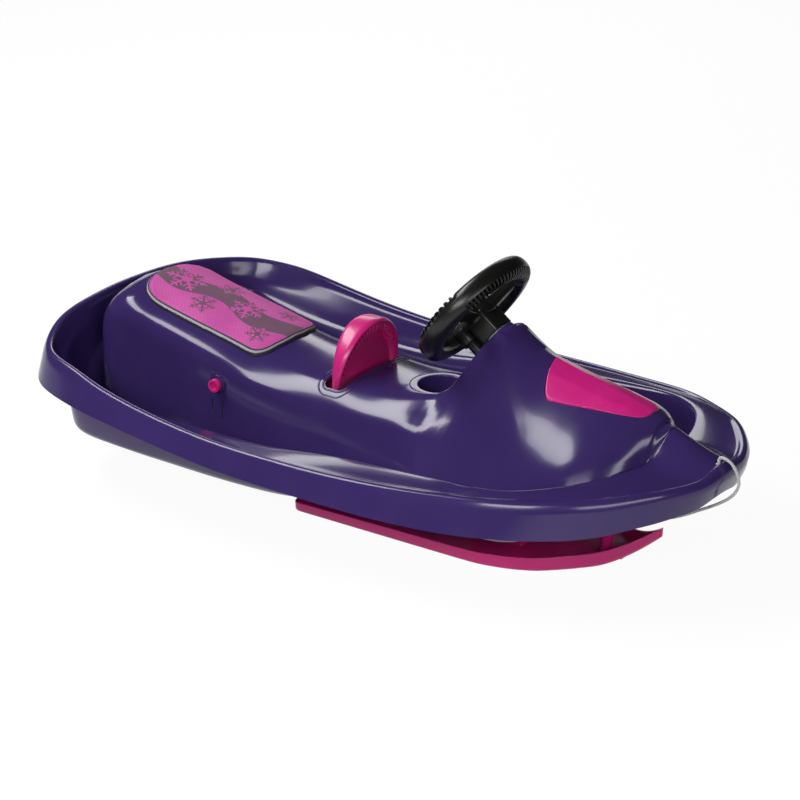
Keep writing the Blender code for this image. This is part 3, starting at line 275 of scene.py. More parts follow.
# Half-sections of the spine and hood at x: three points from the crest down to the foot,
# each as share of the foot's half-width and share of the height above the well's floor.
SECTIONS = (
    (-0.478, 0.60, 0.93, 0.84, 0.84, 0.95, 0.68), (-0.420, 0.62, 0.956, 0.85, 0.903, 0.95, 0.78),
    (-0.355, 0.63, 0.941, 0.84, 0.892, 0.94, 0.743), (-0.258, 0.63, 0.934, 0.835, 0.874, 0.94, 0.742),
    (-0.180, 0.58, 0.937, 0.80, 0.836, 0.935, 0.732), (-0.100, 0.475, 0.96, 0.73, 0.838, 0.91, 0.716),
    (-0.020, 0.42, 0.962, 0.685, 0.833, 0.877, 0.697), (0.065, 0.377, 0.984, 0.64, 0.855, 0.83, 0.695),
    (0.105, 0.314, 0.99, 0.533, 0.80, 0.788, 0.625), (0.140, 0.258, 0.99, 0.38, 0.715, 0.765, 0.43),
    (0.177, 0.175, 0.983, 0.407, 0.69, 0.756, 0.33), (0.210, 0.24, 0.916, 0.514, 0.636, 0.768, 0.334),
    (0.250, 0.31, 0.8425, 0.586, 0.617, 0.814, 0.354), (0.300, 0.32, 0.851, 0.59, 0.634, 0.847, 0.352),
    (0.350, 0.333, 0.87, 0.603, 0.646, 0.857, 0.362), (0.390, 0.389, 0.88, 0.64, 0.628, 0.846, 0.356),
    (0.428, 0.46, 0.88, 0.72, 0.62, 0.87, 0.36),
)
# Side of the well from the ledge to the foot: share of the way, share of the depth left.
WELL_WALL = ((0.0, 1.0), (0.08, 0.86), (0.24, 0.35), (0.38, 0.08), (0.52, 0.0), (0.86, 0.0))
WELL_STEEP = ((0.0, 0.5), (4.0, 0.5), (6.5, 1.0), (18.0, 1.0))   # scale of those shares by station
FOOT_FILLET = 0.05         # share of the height where the spine's side leaves the floor
SPINE_STEPS = (0.0, 0.5, 1.0, 1.5, 2.0, 2.5, 3.0, 4.0)
# Degrees round the section of the wheel's ring at which it has points.
SECTION_TURNS = (*range(0, 151, 10), 158, 164, 167, 169, 176, *range(184, 315, 10),
                 322, 327, 329, 334, 340, 350)
# Crystals of the seat pad's print: x, y, size, turn.
CRYSTALS = (
    (-0.372, 0.000, 0.030, 0.2), (-0.318, 0.034, 0.020, 0.9), (-0.318, -0.032, 0.021, 0.5),
    (-0.266, 0.002, 0.027, 0.7), (-0.222, 0.040, 0.017, 0.1), (-0.218, -0.038, 0.018, 1.0),
)


def slopes(xs, ys):
    """Slopes at the knots that keep the curve between its knots."""
    h = np.diff(xs)
    d = np.diff(ys) / h
    m = np.zeros(len(xs))
    for i in range(1, len(xs) - 1):
        if d[i - 1] * d[i] > 0:
            m[i] = 2 * d[i - 1] * d[i] / (d[i - 1] + d[i])
    m[0], m[-1] = d[0], d[-1]
    return m


def smooth(xs, ys, x):
    """Value at x of the smooth curve through the knots."""
    xs = np.asarray(xs, float)
    ys = np.asarray(ys, float)
    m = slopes(xs, ys)
    x = min(max(x, xs[0]), xs[-1])
    i = min(max(int(np.searchsorted(xs, x, side="right")) - 1, 0), len(xs) - 2)
    h = xs[i + 1] - xs[i]
    t = (x - xs[i]) / h
    rise = ys[i] * (1 + 2 * t) * (1 - t) ** 2 + ys[i + 1] * t * t * (3 - 2 * t)
    return float(rise + h * (m[i] * t * (1 - t) ** 2 + m[i + 1] * t * t * (t - 1)))


def lengthwise(x):
    """Stretches the tail and the nose to their lengths, and leaves the middle as it is."""
    if x < TAIL_FIXED:
        return TAIL_FIXED + (x - TAIL_FIXED) * (TAIL_LENGTH + TAIL_FIXED) / TAIL_DRAWN
    if x > NOSE_FIXED:
        return NOSE_FIXED + (x - NOSE_FIXED) * (NOSE_LENGTH - NOSE_FIXED) / NOSE_DRAWN
    return x


def widthwise(y):
    """Stretches what lies outside the spine to the hull's width."""
    if y < SIDE_FIXED:
        return y
    return SIDE_FIXED + (y - SIDE_FIXED) * (HALF_WIDTH - SIDE_FIXED) / SIDE_DRAWN


def round_station(table, u):
    """Values of a station table at u; the table goes on as its mirror image past both ends."""
    rows = [list(table[1])] + [list(row) for row in table] + [list(table[-2])]
    rows[0][1] *= -1
    rows[-1][1] *= -1
    knots = range(-1, len(table) + 1)
    return [smooth(knots, [row[i] for row in rows], u) for i in range(len(table[0]))]


def read(table, x, column=1):
    """Value at x in a column of a table whose first column is x."""
    return smooth([row[0] for row in table], [row[column] for row in table], x)


def foot_at(x):
    """Half-width and floor height of the spine's foot at x."""
    return read(FOOT, x, 1), read(FOOT, x, 2)


def section_curve(x, width, floor):
    """Points (y, z) of the half-section at x, from the foot up to the crest."""
    crest = read(CREST, x)
    share = [read(SECTIONS, x, i) for i in range(1, 7)]
    across = (0.0, *share[::2], 1.0)
    up = (1.0, *share[1::2], FOOT_FILLET)
    knots = range(-1, 5)
    points = []
    for v in SPINE_STEPS[::-1]:
        f = smooth(knots, (-across[1], *across), v)
        h = smooth(knots, (up[1], *up), v)
        points.append((width * f, floor + (crest - floor) * h))
    return points


def deck_height(x, y):
    """Height of the spine or hood over the point (x, y)."""
    width, floor = foot_at(x)
    points = section_curve(x, width, floor)[::-1]
    return float(np.interp(abs(y), [p[0] for p in points], [p[1] for p in points]))


def nose_ridge(x, y):
    """Rise of the ridge that carries the hood's crest on to the nose lip."""
    across = max(0.0, 1 - (y / NOSE_RIDGE_WIDTH) ** 2) ** 2
    return NOSE_RIDGE * read(NOSE_RIDGE_RUN, x) * across if x > NOSE_RIDGE_START else 0.0


# ---------------------------------------------------------------- modelling helpers

COLUMN = Matrix.Translation(WHEEL_CENTRE) @ Matrix.Rotation(COLUMN_TILT - math.pi / 2, 4, "Y")


def upright(x):
    """Place of a piece with a vertical axis at x, in the centre plane."""
    return Matrix.Translation((x, 0, 0))


def pivot_axis(side):
    """Place of a piece on the brake's pivot, pointing out to this side."""
    return Matrix.Translation((PIVOT_X, 0, PIVOT_Z)) @ Matrix.Rotation(-side * math.pi / 2, 4, "X")


def plug(radius, low, high):
    """Half-profile of a plain cylinder."""
    return (0, low), (radius, low), (radius, high), (0, high)


def tube(inner, outer, low, high):
    """Half-profile of a plain tube."""
    return (inner, low), (outer, low), (outer, high), (inner, high), (inner, low)


def circle(count):
    """Angles of the points of a circle."""
    return np.linspace(0, 2 * math.pi, count, endpoint=False)


def bent(value, power):
    """Power of a value with its sign kept; below 1 it makes a round section squarer."""
    return math.copysign(abs(value) ** power, value)


def part_way(value, over):
    """Share of the way from 0 to `over`, held at 0 and 1 beyond."""
    return min(max(value / over, 0), 1)


def take(*objects):
    """Leaves edit mode and selects these objects only; the first is active."""
    if bpy.context.mode != "OBJECT":
        bpy.ops.object.mode_set(mode="OBJECT")
    bpy.ops.object.select_all(action="DESELECT")
    for obj in objects:
        obj.select_set(True)
    if objects:
        bpy.context.view_layer.objects.active = objects[0]
    return objects[0] if objects else None


def edit(obj):
    """Enters edit mode on an object with everything selected."""
    take(obj)
    bpy.ops.object.mode_set(mode="EDIT")
    bpy.ops.mesh.select_all(action="SELECT")


def apply_modifiers(obj):
    take(obj)
    for modifier in list(obj.modifiers):
        bpy.ops.object.modifier_apply(modifier=modifier.name)


def clean(obj, name, angle=35, fill=False):
    """Merges doubles, closes the ends, turns the faces out and shades the piece."""
    obj.name = obj.data.name = name
    edit(obj)
    bpy.ops.mesh.remove_doubles(threshold=MERGE)
    bpy.ops.mesh.dissolve_degenerate(threshold=MERGE / 2)
    if fill:
        bpy.ops.mesh.select_all(action="SELECT")
        bpy.ops.mesh.fill_holes(sides=0)
    bpy.ops.mesh.select_all(action="SELECT")
    bpy.ops.mesh.normals_make_consistent(inside=False)
    take(obj)
    bpy.ops.object.shade_smooth_by_angle(angle=math.radians(angle))
    return obj


def put(obj, matrix):
    """Moves a piece to its place and applies the move, so that its place is in its mesh."""
    obj.matrix_world = matrix
    take(obj)
    bpy.ops.object.transform_apply(location=True, rotation=True, scale=True)
    return obj


def soften(points, radius, steps=3, loop=False):
    """The line through the points with rounded corners; radius is one number or one for each point."""
    points = [Vector(p) for p in points]
    count = len(points)
    radii = [radius] * count if isinstance(radius, (int, float)) else radius
    line = []
    for i, corner in enumerate(points):
        if not loop and i in (0, count - 1):
            line.append(corner)
            continue
        before, after = points[i - 1] - corner, points[(i + 1) % count] - corner
        reach = min(radii[i], before.length * 0.46, after.length * 0.46)
        start, end = corner + before.normalized() * reach, corner + after.normalized() * reach
        for step in range(steps + 1):
            t = step / steps
            line.append(start * (1 - t) ** 2 + corner * (2 * t * (1 - t)) + end * t * t)
    return line


def skin(name, rows, loop=False, fill=False, angle=35):
    """A grid laid over rows of points. loop closes each row, and fill closes the open ends."""
    rows = [[tuple(p) for p in row] + ([tuple(row[0])] if loop else []) for row in rows]
    take()
    bpy.ops.mesh.primitive_grid_add(x_subdivisions=len(rows[0]) - 1, y_subdivisions=len(rows) - 1, size=2)
    obj = bpy.context.object
    obj.data.vertices.foreach_set("co", np.asarray(rows, float).reshape(-1))
    return clean(obj, name, angle, fill)


def turned(name, profile, steps=48, matrix=None, angle=35, soft=0.0):
    """A drawn half-profile of (radius, height) points spun round its axis, then put in its place."""
    points = [(r, 0.0, z) for r, z in profile]
    if soft:
        points = [tuple(p) for p in soften(points, soft)]
    mesh = bpy.data.meshes.new(name)
    mesh.from_pydata(points, [(i, i + 1) for i in range(len(points) - 1)], [])
    obj = bpy.data.objects.new(name, mesh)
    bpy.context.scene.collection.objects.link(obj)
    edit(obj)
    bpy.ops.mesh.spin(steps=steps, angle=2 * math.pi, center=(0, 0, 0), axis=(0, 0, 1))
    clean(obj, name, angle)
    return put(obj, matrix) if matrix else obj


def prism(name, outline, low, high, axis="Z", edge=0.0, segments=2, matrix=None, angle=35):
    """An outline extruded along an axis, its sharp edges bevelled. Axis Y takes (x, z), axis X (y, z)."""
    lift = {"Z": (0, 0, 1), "Y": (0, 1, 0), "X": (1, 0, 0)}[axis]
    take()
    bpy.ops.mesh.primitive_circle_add(vertices=len(outline), radius=1, fill_type="NGON")
    obj = bpy.context.object
    for vertex, (a, b) in zip(obj.data.vertices, outline):
        vertex.co = {"Z": (a, b, low), "Y": (a, low, b), "X": (low, a, b)}[axis]
    edit(obj)
    bpy.ops.mesh.extrude_region_move(TRANSFORM_OT_translate={"value": Vector(lift) * (high - low)})
    clean(obj, name, angle)
    if edge:
        rounding(obj, edge, segments)
    return put(obj, matrix) if matrix else obj


def rounding(obj, width, segments=2, angle=30):
    """Bevels the sharp edges of a piece."""
    bevel = obj.modifiers.new("edges", "BEVEL")
    bevel.width, bevel.segments, bevel.limit_method = width, segments, "ANGLE"
    bevel.angle_limit = math.radians(angle)
    bevel.harden_normals = False
    apply_modifiers(obj)
    return obj


def block(name, low, high, edge=0.0, segments=2):
    """A cube added at its size and place, with bevelled edges."""
    take()
    bpy.ops.mesh.primitive_cube_add(size=1, location=[(a + b) / 2 for a, b in zip(low, high)])
    obj = bpy.context.object
    obj.scale = [abs(b - a) for a, b in zip(low, high)]
    bpy.ops.object.transform_apply(location=True, rotation=True, scale=True)
    clean(obj, name)
    return rounding(obj, edge, segments) if edge else obj


def weld(name, *objects):
    """Joins several shapes to one piece."""
    take(*objects)
    bpy.ops.object.join()
    joined = bpy.context.object
    joined.name = joined.data.name = name
    return joined


def cut(obj, cutter):
    """Takes the cutter's volume out of a piece, and removes the cutter."""
    change = obj.modifiers.new("opening", "BOOLEAN")
    change.operation, change.solver, change.object = "DIFFERENCE", "EXACT", cutter
    apply_modifiers(obj)
    bpy.data.objects.remove(cutter)
    return obj


def mark_edges(obj):
    """Stores how sharply the surface turns at each point, as the attribute that the wear reads."""
    work = bmesh.new()
    work.from_mesh(obj.data)
    turn = np.zeros(len(work.verts))
    for line in work.edges:
        bend = abs(line.calc_face_angle(0.0))
        if line.calc_length() < LONG_EDGE:
            for vertex in line.verts:
                turn[vertex.index] = max(turn[vertex.index], bend)
    work.free()
    store = obj.data.attributes.get("edge") or obj.data.attributes.new("edge", "FLOAT", "POINT")
    store.data.foreach_set("value", np.clip(turn / FULL_BEND, 0, 1).astype(np.float32))


def finish(obj, look, body, *nodes, edges=True):
    """Gives a piece its material, its body and the CAD nodes that it stands for."""
    obj.data.materials.clear()
    obj.data.materials.append(look)
    if edges and obj.type == "MESH":
        mark_edges(obj)
    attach(obj, body)
    if nodes:
        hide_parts(*nodes)
    return obj


# ---------------------------------------------------------------- hull

def hull_line(u):
    """Points of one station in full detail, from the skirt's lower edge to the crest."""
    rim_x, rim_y, rim_z, skirt_z, flare = round_station(RIM, u)
    ledge_x, ledge_y, ledge_z = round_station(LEDGE, u)
    foot_x, foot_y, floor_z = round_station(FOOT, u)
    inward = Vector((ledge_x - rim_x, ledge_y - rim_y))
    span = inward.length
    inward.normalize()
    drop = min(RIM_DROP, rim_z - ledge_z + 0.004)
    shoulder = rim_z - min(RIM_DROP, (rim_z - skirt_z) * 0.35)
    edge_z = ledge_z + nose_ridge(ledge_x, ledge_y)
    steep = read(WELL_STEEP, u)
    corners = []
    for distance, z in ((-flare, skirt_z), (-0.001, shoulder), (0.004, rim_z), (0.012, rim_z),
                        (RIM_WIDTH, rim_z - drop),
                        (RIM_WIDTH + (span - RIM_WIDTH) * 0.45, ledge_z + (rim_z - drop - ledge_z) * 0.35)):
        x, y = rim_x + inward.x * distance, rim_y + inward.y * distance
        corners.append((x, y, z + nose_ridge(x, y)))
    for share, height in WELL_WALL:
        share *= steep
        corners.append((ledge_x + (foot_x - ledge_x) * share, ledge_y + (foot_y - ledge_y) * share,
                        floor_z + (edge_z - floor_z) * height))
    section = [(foot_x, y, z) for y, z in section_curve(foot_x, foot_y, floor_z)]
    radii = (0, 0.007, 0.004, 0.004, 0.005, 0.03, 0.010, 0.02, 0.03, 0.03, 0.03, 0.03, 0)
    return soften([*corners, section[0]], radii) + section[1:]


def hull_stations():
    """All stations as one array, eased along the hull so that its gloss runs evenly."""
    stations = range((len(RIM) - 1) * HULL_FINE + 1)
    points = np.array([[tuple(p) for p in hull_line(i / HULL_FINE)] for i in stations])
    mirrored = np.array((1, -1, 1))
    reach = HULL_FINE
    longer = np.concatenate([points[reach:0:-1] * mirrored, points, points[-2:-reach - 2:-1] * mirrored])
    eased = []
    for spread in (0.26 * HULL_FINE, 0.09 * HULL_FINE):      # of the rim and well, and of the spine
        weights = np.exp(-0.5 * (np.arange(-reach, reach + 1) / spread) ** 2)
        weights /= weights.sum()
        eased.append(sum(w * longer[i:i + len(points)] for i, w in enumerate(weights)))
    mixed = np.concatenate([eased[0][:, :RIM_ROWS], eased[1][:, RIM_ROWS:]], axis=1)
    mixed[[0, -1], :, 1] = 0.0
    mixed[:, -1, 1] = 0.0
    spine = mixed[:, RIM_ROWS:]
    spine[..., 2] += slot_plateau(spine)
    return [[(lengthwise(x), widthwise(y), z) for x, y, z in row] for row in mixed]


def calm(hull, along, across, above, repeat):
    """Evens out the hull above a height, in a range of x and of the distance from the centre plane."""
    edit(hull)
    bpy.ops.mesh.select_all(action="DESELECT")
    take(hull)
    for vertex in hull.data.vertices:
        x, y, z = vertex.co
        vertex.select = along[0] < x < along[1] and across[0] <= abs(y) < across[1] and z > above
    bpy.ops.object.mode_set(mode="EDIT")
    bpy.ops.mesh.vertices_smooth(factor=0.5, repeat=repeat)
    take(hull)


def slot_plateau(spine):
    """Lift that keeps the deck level out to both ends of the brake handle's slot."""
    x, y, z = spine[..., 0], np.abs(spine[..., 1]), spine[..., 2]
    level = PLATEAU_TOP - PLATEAU_SAG * (y / (BRAKE_HALF_WIDTH + SLOT_PLAY)) ** 2
    near = np.exp(-(np.abs(x - PLATEAU_X) / PLATEAU_REACH) ** 2)
    edge = np.clip((PLATEAU_EDGE - y) / PLATEAU_FADE, 0, 1)
    return np.clip(level - z, 0, PLATEAU_LIFT) * near * edge * edge * (3 - 2 * edge) * PLATEAU_SHARE


def build_hull(sizes, look):
    """The hull's shell with its openings, and the tree of its outer surface that other pieces are laid on."""
    hull = skin("hull_shell", hull_stations(), angle=50)
    mirror = hull.modifiers.new("sides", "MIRROR")
    mirror.use_axis = (False, True, False)
    mirror.merge_threshold = MIRROR_MERGE
    apply_modifiers(hull)
    edit(hull)
    bpy.ops.mesh.normals_make_consistent(inside=False)
    take(hull)
    if max(p.normal.z for p in hull.data.polygons if p.center.z > HOOD_TOP) < 0:
        edit(hull)
        bpy.ops.mesh.flip_normals()
        take(hull)
    calm(hull, along=(0.414, 0.480), across=(0.0, 0.055), above=0.150, repeat=16)
    skin_tree = BVHTree.FromObject(hull, bpy.context.evaluated_depsgraph_get())
    wall = hull.modifiers.new("wall", "SOLIDIFY")
    wall.thickness, wall.offset = sizes.wall, -1
    apply_modifiers(hull)
    cut(hull, weld("openings", *hull_cutters()))
    clean(hull, "hull_shell", 40)
    finish(hull, look, "hull_body", "hull")
    return skin_tree


def hull_cutters():
    """The shapes that the hull's openings take out of its shell."""
    slot = prism("slot", slot_outline(0.0), 0.152, 0.24)
    cup = turned("cup", plug(CUP_RIM_RADIUS - 0.0008, 0.15, 0.215), 72, upright(CUP_X))
    bore, seat, start, end, top = SHAFT_BORE, COLLAR_RADIUS + 0.001, -SLEEVE_START, -0.118, -0.012
    sleeve = ((0, end), (bore, end), (bore, start), (seat, start), (seat, top), (0, top))
    sleeve = turned("sleeve", sleeve, 64, COLUMN)
    crank = prism("crank", arc_slot_outline(), -0.085, -0.030, matrix=COLUMN)
    panel = prism("panel", panel_outline(PANEL_GAP, 24), 0.195, 0.32)
    cord = turned("cord", plug(CORD_HOLE_RADIUS, 0.12, 0.22), 32, upright(CORD_HOLE_X))
    cutters = [slot, cup, sleeve, crank, panel, cord]
    for side, _ in SIDES:
        cutters.append(turned("pin", plug(0.0125, 0.08, 0.125), 40, pivot_axis(side)))
        low, high = sorted((side * 0.0885, side * 0.118))
        for x in (PIVOT_X - 0.0087, PIVOT_X + 0.0087):
            cutters.append(block("tongue", (x - 0.0011, low, 0.0952), (x + 0.0011, high, 0.1217)))
    return cutters


def slot_outline(grow, steps=8):
    """Outline (x, y) of the brake handle's slot, or of a line round it."""
    half_y = BRAKE_HALF_WIDTH + SLOT_PLAY + grow
    low, high, corner = BRAKE_X - SLOT_REAR - grow, BRAKE_X + SLOT_FRONT + grow, SLOT_CORNER + grow
    outline = []
    for x, y, quarter in ((high, half_y, 0), (low, half_y, 1), (low, -half_y, 2), (high, -half_y, 3)):
        cx = x - math.copysign(corner, x - (low + high) / 2)
        cy = y - math.copysign(corner, y)
        for step in range(steps + 1):
            a = (quarter + step / steps) * math.pi / 2
            outline.append((cx + corner * math.cos(a), cy + corner * math.sin(a)))
    return outline


def arc_slot_outline():
    """Outline of the crank rod's slot, an arc round the column below the shaft."""
    half = CRANK_RADIUS + CRANK_PLAY
    inner, outer = CRANK_REACH - half, CRANK_REACH + half
    turn = WHEEL_TURN + SLOT_OVERTURN
    outline = [(-outer * math.cos(a), outer * math.sin(a)) for a in np.linspace(-turn, turn, 24)]
    cap = np.linspace(0.2, 2.94, 10)
    for end, sweep in ((1, cap), (-1, cap[::-1])):
        outline += [(-CRANK_REACH * math.cos(turn) - half * math.cos(turn + b),
                     end * (CRANK_REACH * math.sin(turn) + half * math.sin(turn + b))) for b in sweep]
        if end == 1:
            outline += [(-inner * math.cos(a), inner * math.sin(a)) for a in np.linspace(turn, -turn, 18)]
    return outline


def on_deck(tree, x, y, top=0.6):
    """Height of the hull's own surface at (x, y)."""
    hit = tree.ray_cast(Vector((x, y, top)), Vector((0, 0, -1)))
    return hit[0].z if hit[0] else deck_height(x, y)


def build_hull_fittings(tree, look):
    """Cup bowl, slot ridges, collar and sleeve, boss and webs, runner rails and pin seats."""
    inside, lip = CUP_RADIUS, CUP_RIM_RADIUS - 0.0012
    bowl = ((0, CUP_FLOOR + 0.0005), (inside - 0.009, CUP_FLOOR), (inside - 0.002, CUP_FLOOR + 0.006),
            (inside - 0.0005, CUP_TOP - 0.010), (inside, CUP_TOP), (lip, CUP_TOP), (lip, CUP_TOP - 0.0045),
            (inside + 0.0035, CUP_TOP - 0.006), (inside + 0.002, CUP_FLOOR - 0.001),
            (inside - 0.010, CUP_FLOOR - 0.004), (0, CUP_FLOOR - 0.004))
    pieces = [turned("cup_bowl", bowl, 96, upright(CUP_X), soft=0.0016)]
    for name, grow, radius in (("inner", 0.0022, 0.0013), ("outer", 0.0085, 0.0010)):
        outline = dense(slot_outline(grow, 10), 0.003)
        line = [Vector((x, y, on_deck(tree, x, y) - radius * 0.25)) for x, y in outline]
        pieces.append(loop_rod("slot_ridge_" + name, line, radius))
    outer = SHAFT_RADIUS + BUSH_WALL + SLEEVE_WALL
    collar = ((SHAFT_BORE, -SLEEVE_END), (outer, -SLEEVE_END), (outer, -0.062), (COLLAR_RADIUS, -0.056),
              (COLLAR_RADIUS, -SLEEVE_START), (SHAFT_BORE, -SLEEVE_START), (SHAFT_BORE, -SLEEVE_END))
    pieces.append(turned("column_sleeve", collar, 64, COLUMN, soft=0.0007))
    bore, low = KING_BUSH_RADIUS + GAP, POST_TOP + 0.0035
    boss = ((bore, low), (BOSS_RADIUS, low), (BOSS_RADIUS + 0.0015, BOSS_TOP), (bore, BOSS_TOP), (bore, low))
    pieces.append(turned("kingpin_boss", boss, 48, upright(KINGPIN_X), soft=0.0008))
    pieces.append(build_webs())
    seat = tube(PIN_RADIUS + GAP, 0.0135, PIN_SEAT - 0.010, PIN_SEAT)
    for side, name in SIDES:
        pieces.append(build_rail("runner_rail_" + name, side))
        pieces.append(turned("pin_seat_" + name, seat, 48, pivot_axis(side), soft=0.0008))
    for piece in pieces:
        finish(piece, look, "hull_body", "hull")


def dense(outline, step):
    """The closed outline with its long sides split."""
    points = []
    for (ax, ay), (bx, by) in zip(outline, outline[1:] + outline[:1]):
        count = max(1, round(math.hypot(bx - ax, by - ay) / step))
        points += [(ax + (bx - ax) * i / count, ay + (by - ay) * i / count) for i in range(count)]
    return points


def loop_rod(name, line, radius, wide=1.5, segments=10, angle=60):
    """A bead along a closed line; wide is its width as a share of its height."""
    rows = []
    for i, point in enumerate(line):
        along = (line[(i + 1) % len(line)] - line[i - 1]).normalized()
        side = along.cross(Vector((0, 0, 1))).normalized()
        up = side.cross(along)
        rows.append([point + side * (radius * wide * math.cos(a)) + up * (radius * math.sin(a))
                     for a in circle(segments)])
    return skin(name, rows + rows[:1], loop=True, angle=angle)


def web_outline(x, low, high, inset):
    """Outline (y, z) of a cross web inside the hood at x."""
    width, floor = foot_at(x)
    side = [(y - inset, z - inset * 0.6) for y, z in section_curve(x, width, floor)]
    heights, widths = [z for _, z in side], [y for y, _ in side]
    right = [(float(np.interp(low, heights, widths)), low)]
    right += [(y, z) for y, z in side if low < z < high]
    right.append((float(np.interp(high, heights, widths)), high))
    return right + [(-y, z) for y, z in right[::-1]]


def build_webs():
    """Webs inside the hood, from the kingpin's boss to both sides and to the front."""
    bore, half, edge = BOSS_RADIUS - 0.003, 0.0015, 0.0006
    left = [p for p in web_outline(KINGPIN_X, 0.105, BOSS_TOP - 0.004, 0.0026) if p[0] > 0]
    left += [(bore, left[-1][1]), (bore, left[0][1])]
    webs = [prism("web", outline, KINGPIN_X - half, KINGPIN_X + half, "X", edge)
            for outline in (left, [(-y, z) for y, z in left])]
    boss, front = KINGPIN_X + bore, PANEL_TIP + 0.008
    outline = ((boss, 0.100), (front - 0.012, 0.100), (front, 0.112),
               (front, deck_height(front, 0.0) - 0.0035), (PANEL_TIP - 0.002, 0.188), (boss, 0.180))
    webs.append(prism("web", outline, -0.0016, 0.0016, "Y", edge))
    return weld("hood_webs", *webs)


def build_rail(name, side):
    """One moulded runner rail below the spine's side, with both ends drawn up."""
    rows = []
    for x, lift in ((-0.452, 0.044), (-0.445, 0.030), (-0.430, 0.012), (-0.415, 0.0035), (-0.400, 0.0),
                    (-0.350, 0.0), (-0.300, 0.0), (-0.260, 0.0), (-0.220, 0.0), (-0.190, 0.0), (-0.160, 0.0),
                    (-0.148, 0.0018), (-0.138, 0.006), (-0.131, 0.015), (-0.128, 0.024)):
        top = foot_at(x)[1] + 0.008
        outline = ((0.080, 0.0), (0.090, 0.0), (0.0965, 0.012), (0.1035, top - 0.012), (0.1035, top),
                   (0.0985, top), (0.094, top - 0.008), (0.080, 0.012))
        ring = [(lengthwise(x), side * y, max(z, lift)) for y, z in outline]
        # Each point is lifted a hair more than the one before, so that none on the ground merge.
        rows.append([(a, b, c + 1e-5 * k) for k, (a, b, c) in enumerate(soften(ring, 0.0022, 3, True))])
    return skin(name, rows, loop=True, fill=True)


# ---------------------------------------------------------------- seat pad and hood panel

def pad_ends(y):
    """Rear and front x of the seat pad's outline at y."""
    share = min(abs(y) / PAD_HALF_WIDTH, 1.0)
    rear = PAD_REAR + 0.050 * (1 - (1 - share ** 2.4) ** (1 / 2.4))
    return rear, PAD_FRONT - 0.012 * share ** 2 - 0.022 * (1 - (1 - share ** 9) ** (1 / 3))


def panel_ends(y, grow=0.0):
    """Rear and front x of the hood panel's outline at y."""
    share = min(abs(y) / (PANEL_HALF_WIDTH + grow), 1.0)
    rear = PANEL_REAR - grow + 0.015 * share ** 2 + 0.010 * (1 - (1 - share ** 9) ** (1 / 3))
    return rear, max(PANEL_TIP + grow - (PANEL_TIP - PANEL_CORNER + grow) * share ** 3.4, rear)


def panel_outline(grow, steps):
    """Plan outline of the hood's opening."""
    ys = side_to_side(PANEL_HALF_WIDTH + grow, steps)
    return [(panel_ends(y, grow)[1], y) for y in ys] + [(panel_ends(y, grow)[0], y) for y in ys[-2:0:-1]]


def side_to_side(half, steps):
    """Distances from the centre plane, from side to side, closer together near both edges."""
    return [half * math.sin(math.pi / 2 * i / steps) for i in range(-steps, steps + 1)]


def cover(name, half, ends, count_x, count_y, base, rise, thickness, angle=40):
    """A closed plate over a plan outline. base gives its underside's height, rise the top's height from the
    distance to the outline; the distance is stored on its points."""
    rows = [[(rear + (front - rear) * (0.5 - 0.5 * math.cos(math.pi * i / count_x)), y)
             for i in range(count_x + 1)] for y in side_to_side(half, count_y) for rear, front in [ends(y)]]
    edge = side_to_side(half, 90)
    line = np.array([(ends(y)[1], y) for y in edge] + [(ends(y)[0], y) for y in edge[::-1]]
                    + [(x, s * half) for s in (1, -1) for x in np.linspace(*ends(half), 60)])
    away = np.sqrt(((np.array(rows)[:, :, None] - line[None, None]) ** 2).sum(-1)).min(-1)
    away[[0, -1]] = 0
    away[:, [0, -1]] = 0
    low = [[(lengthwise(x), y, base(lengthwise(x), y)) for x, y in row] for row in rows]
    high = [[(x, y, z + rise(d) * thickness) for (x, y, z), d in zip(row, ds)] for row, ds in zip(low, away)]
    known = np.array(low).reshape(-1, 3)[:, :2]
    faces = [skin(name, high, angle=angle), skin("under", low, angle=angle)]
    for face in faces:
        spots = np.empty(len(face.data.vertices) * 3)
        face.data.vertices.foreach_get("co", spots)
        near = [int(((known - spot) ** 2).sum(1).argmin()) for spot in spots.reshape(-1, 3)[:, :2]]
        store = face.data.attributes.new("inside", "FLOAT", "POINT")
        store.data.foreach_set("value", away.reshape(-1)[near].astype(np.float32))
    return clean(weld(name, *faces), name, angle)


def build_pad(tree, look):
    """Foam seat pad: a crowned sheet with a rounded edge and a pressed groove near it."""
    def rise(distance):
        edge = min(distance / PAD_ROUND, 1.0)
        swell = min(distance / PAD_SWELL, 1.0)
        groove = math.exp(-((distance - PAD_GROOVE) / PAD_GROOVE_WIDTH) ** 2)
        return 0.84 * math.sqrt(1 - (1 - edge) ** 2) + 0.16 * swell * (2 - swell) - 0.10 * groove

    pad = cover("seat_cushion", PAD_HALF_WIDTH, pad_ends, 110, 40,
                lambda x, y: on_deck(tree, x, y) + LAID, rise, PAD_THICKNESS + 0.0006)
    finish(pad, look, "hull_body", "seat_pad", edges=False)


def build_panel(look):
    """Hood cover, flush in its opening with a rounded edge."""
    def rise(distance):
        return 1 - 0.45 * (1 - min(distance / PANEL_ROUND, 1.0)) ** 2

    panel = cover("hood_cover", PANEL_HALF_WIDTH, panel_ends, 70, 26,
                  lambda x, y: deck_height(x, y) - PANEL_THICKNESS + 0.0012, rise, PANEL_THICKNESS)
    finish(panel, look, "hull_body", "hood_panel", edges=False)


# ---------------------------------------------------------------- steering wheel

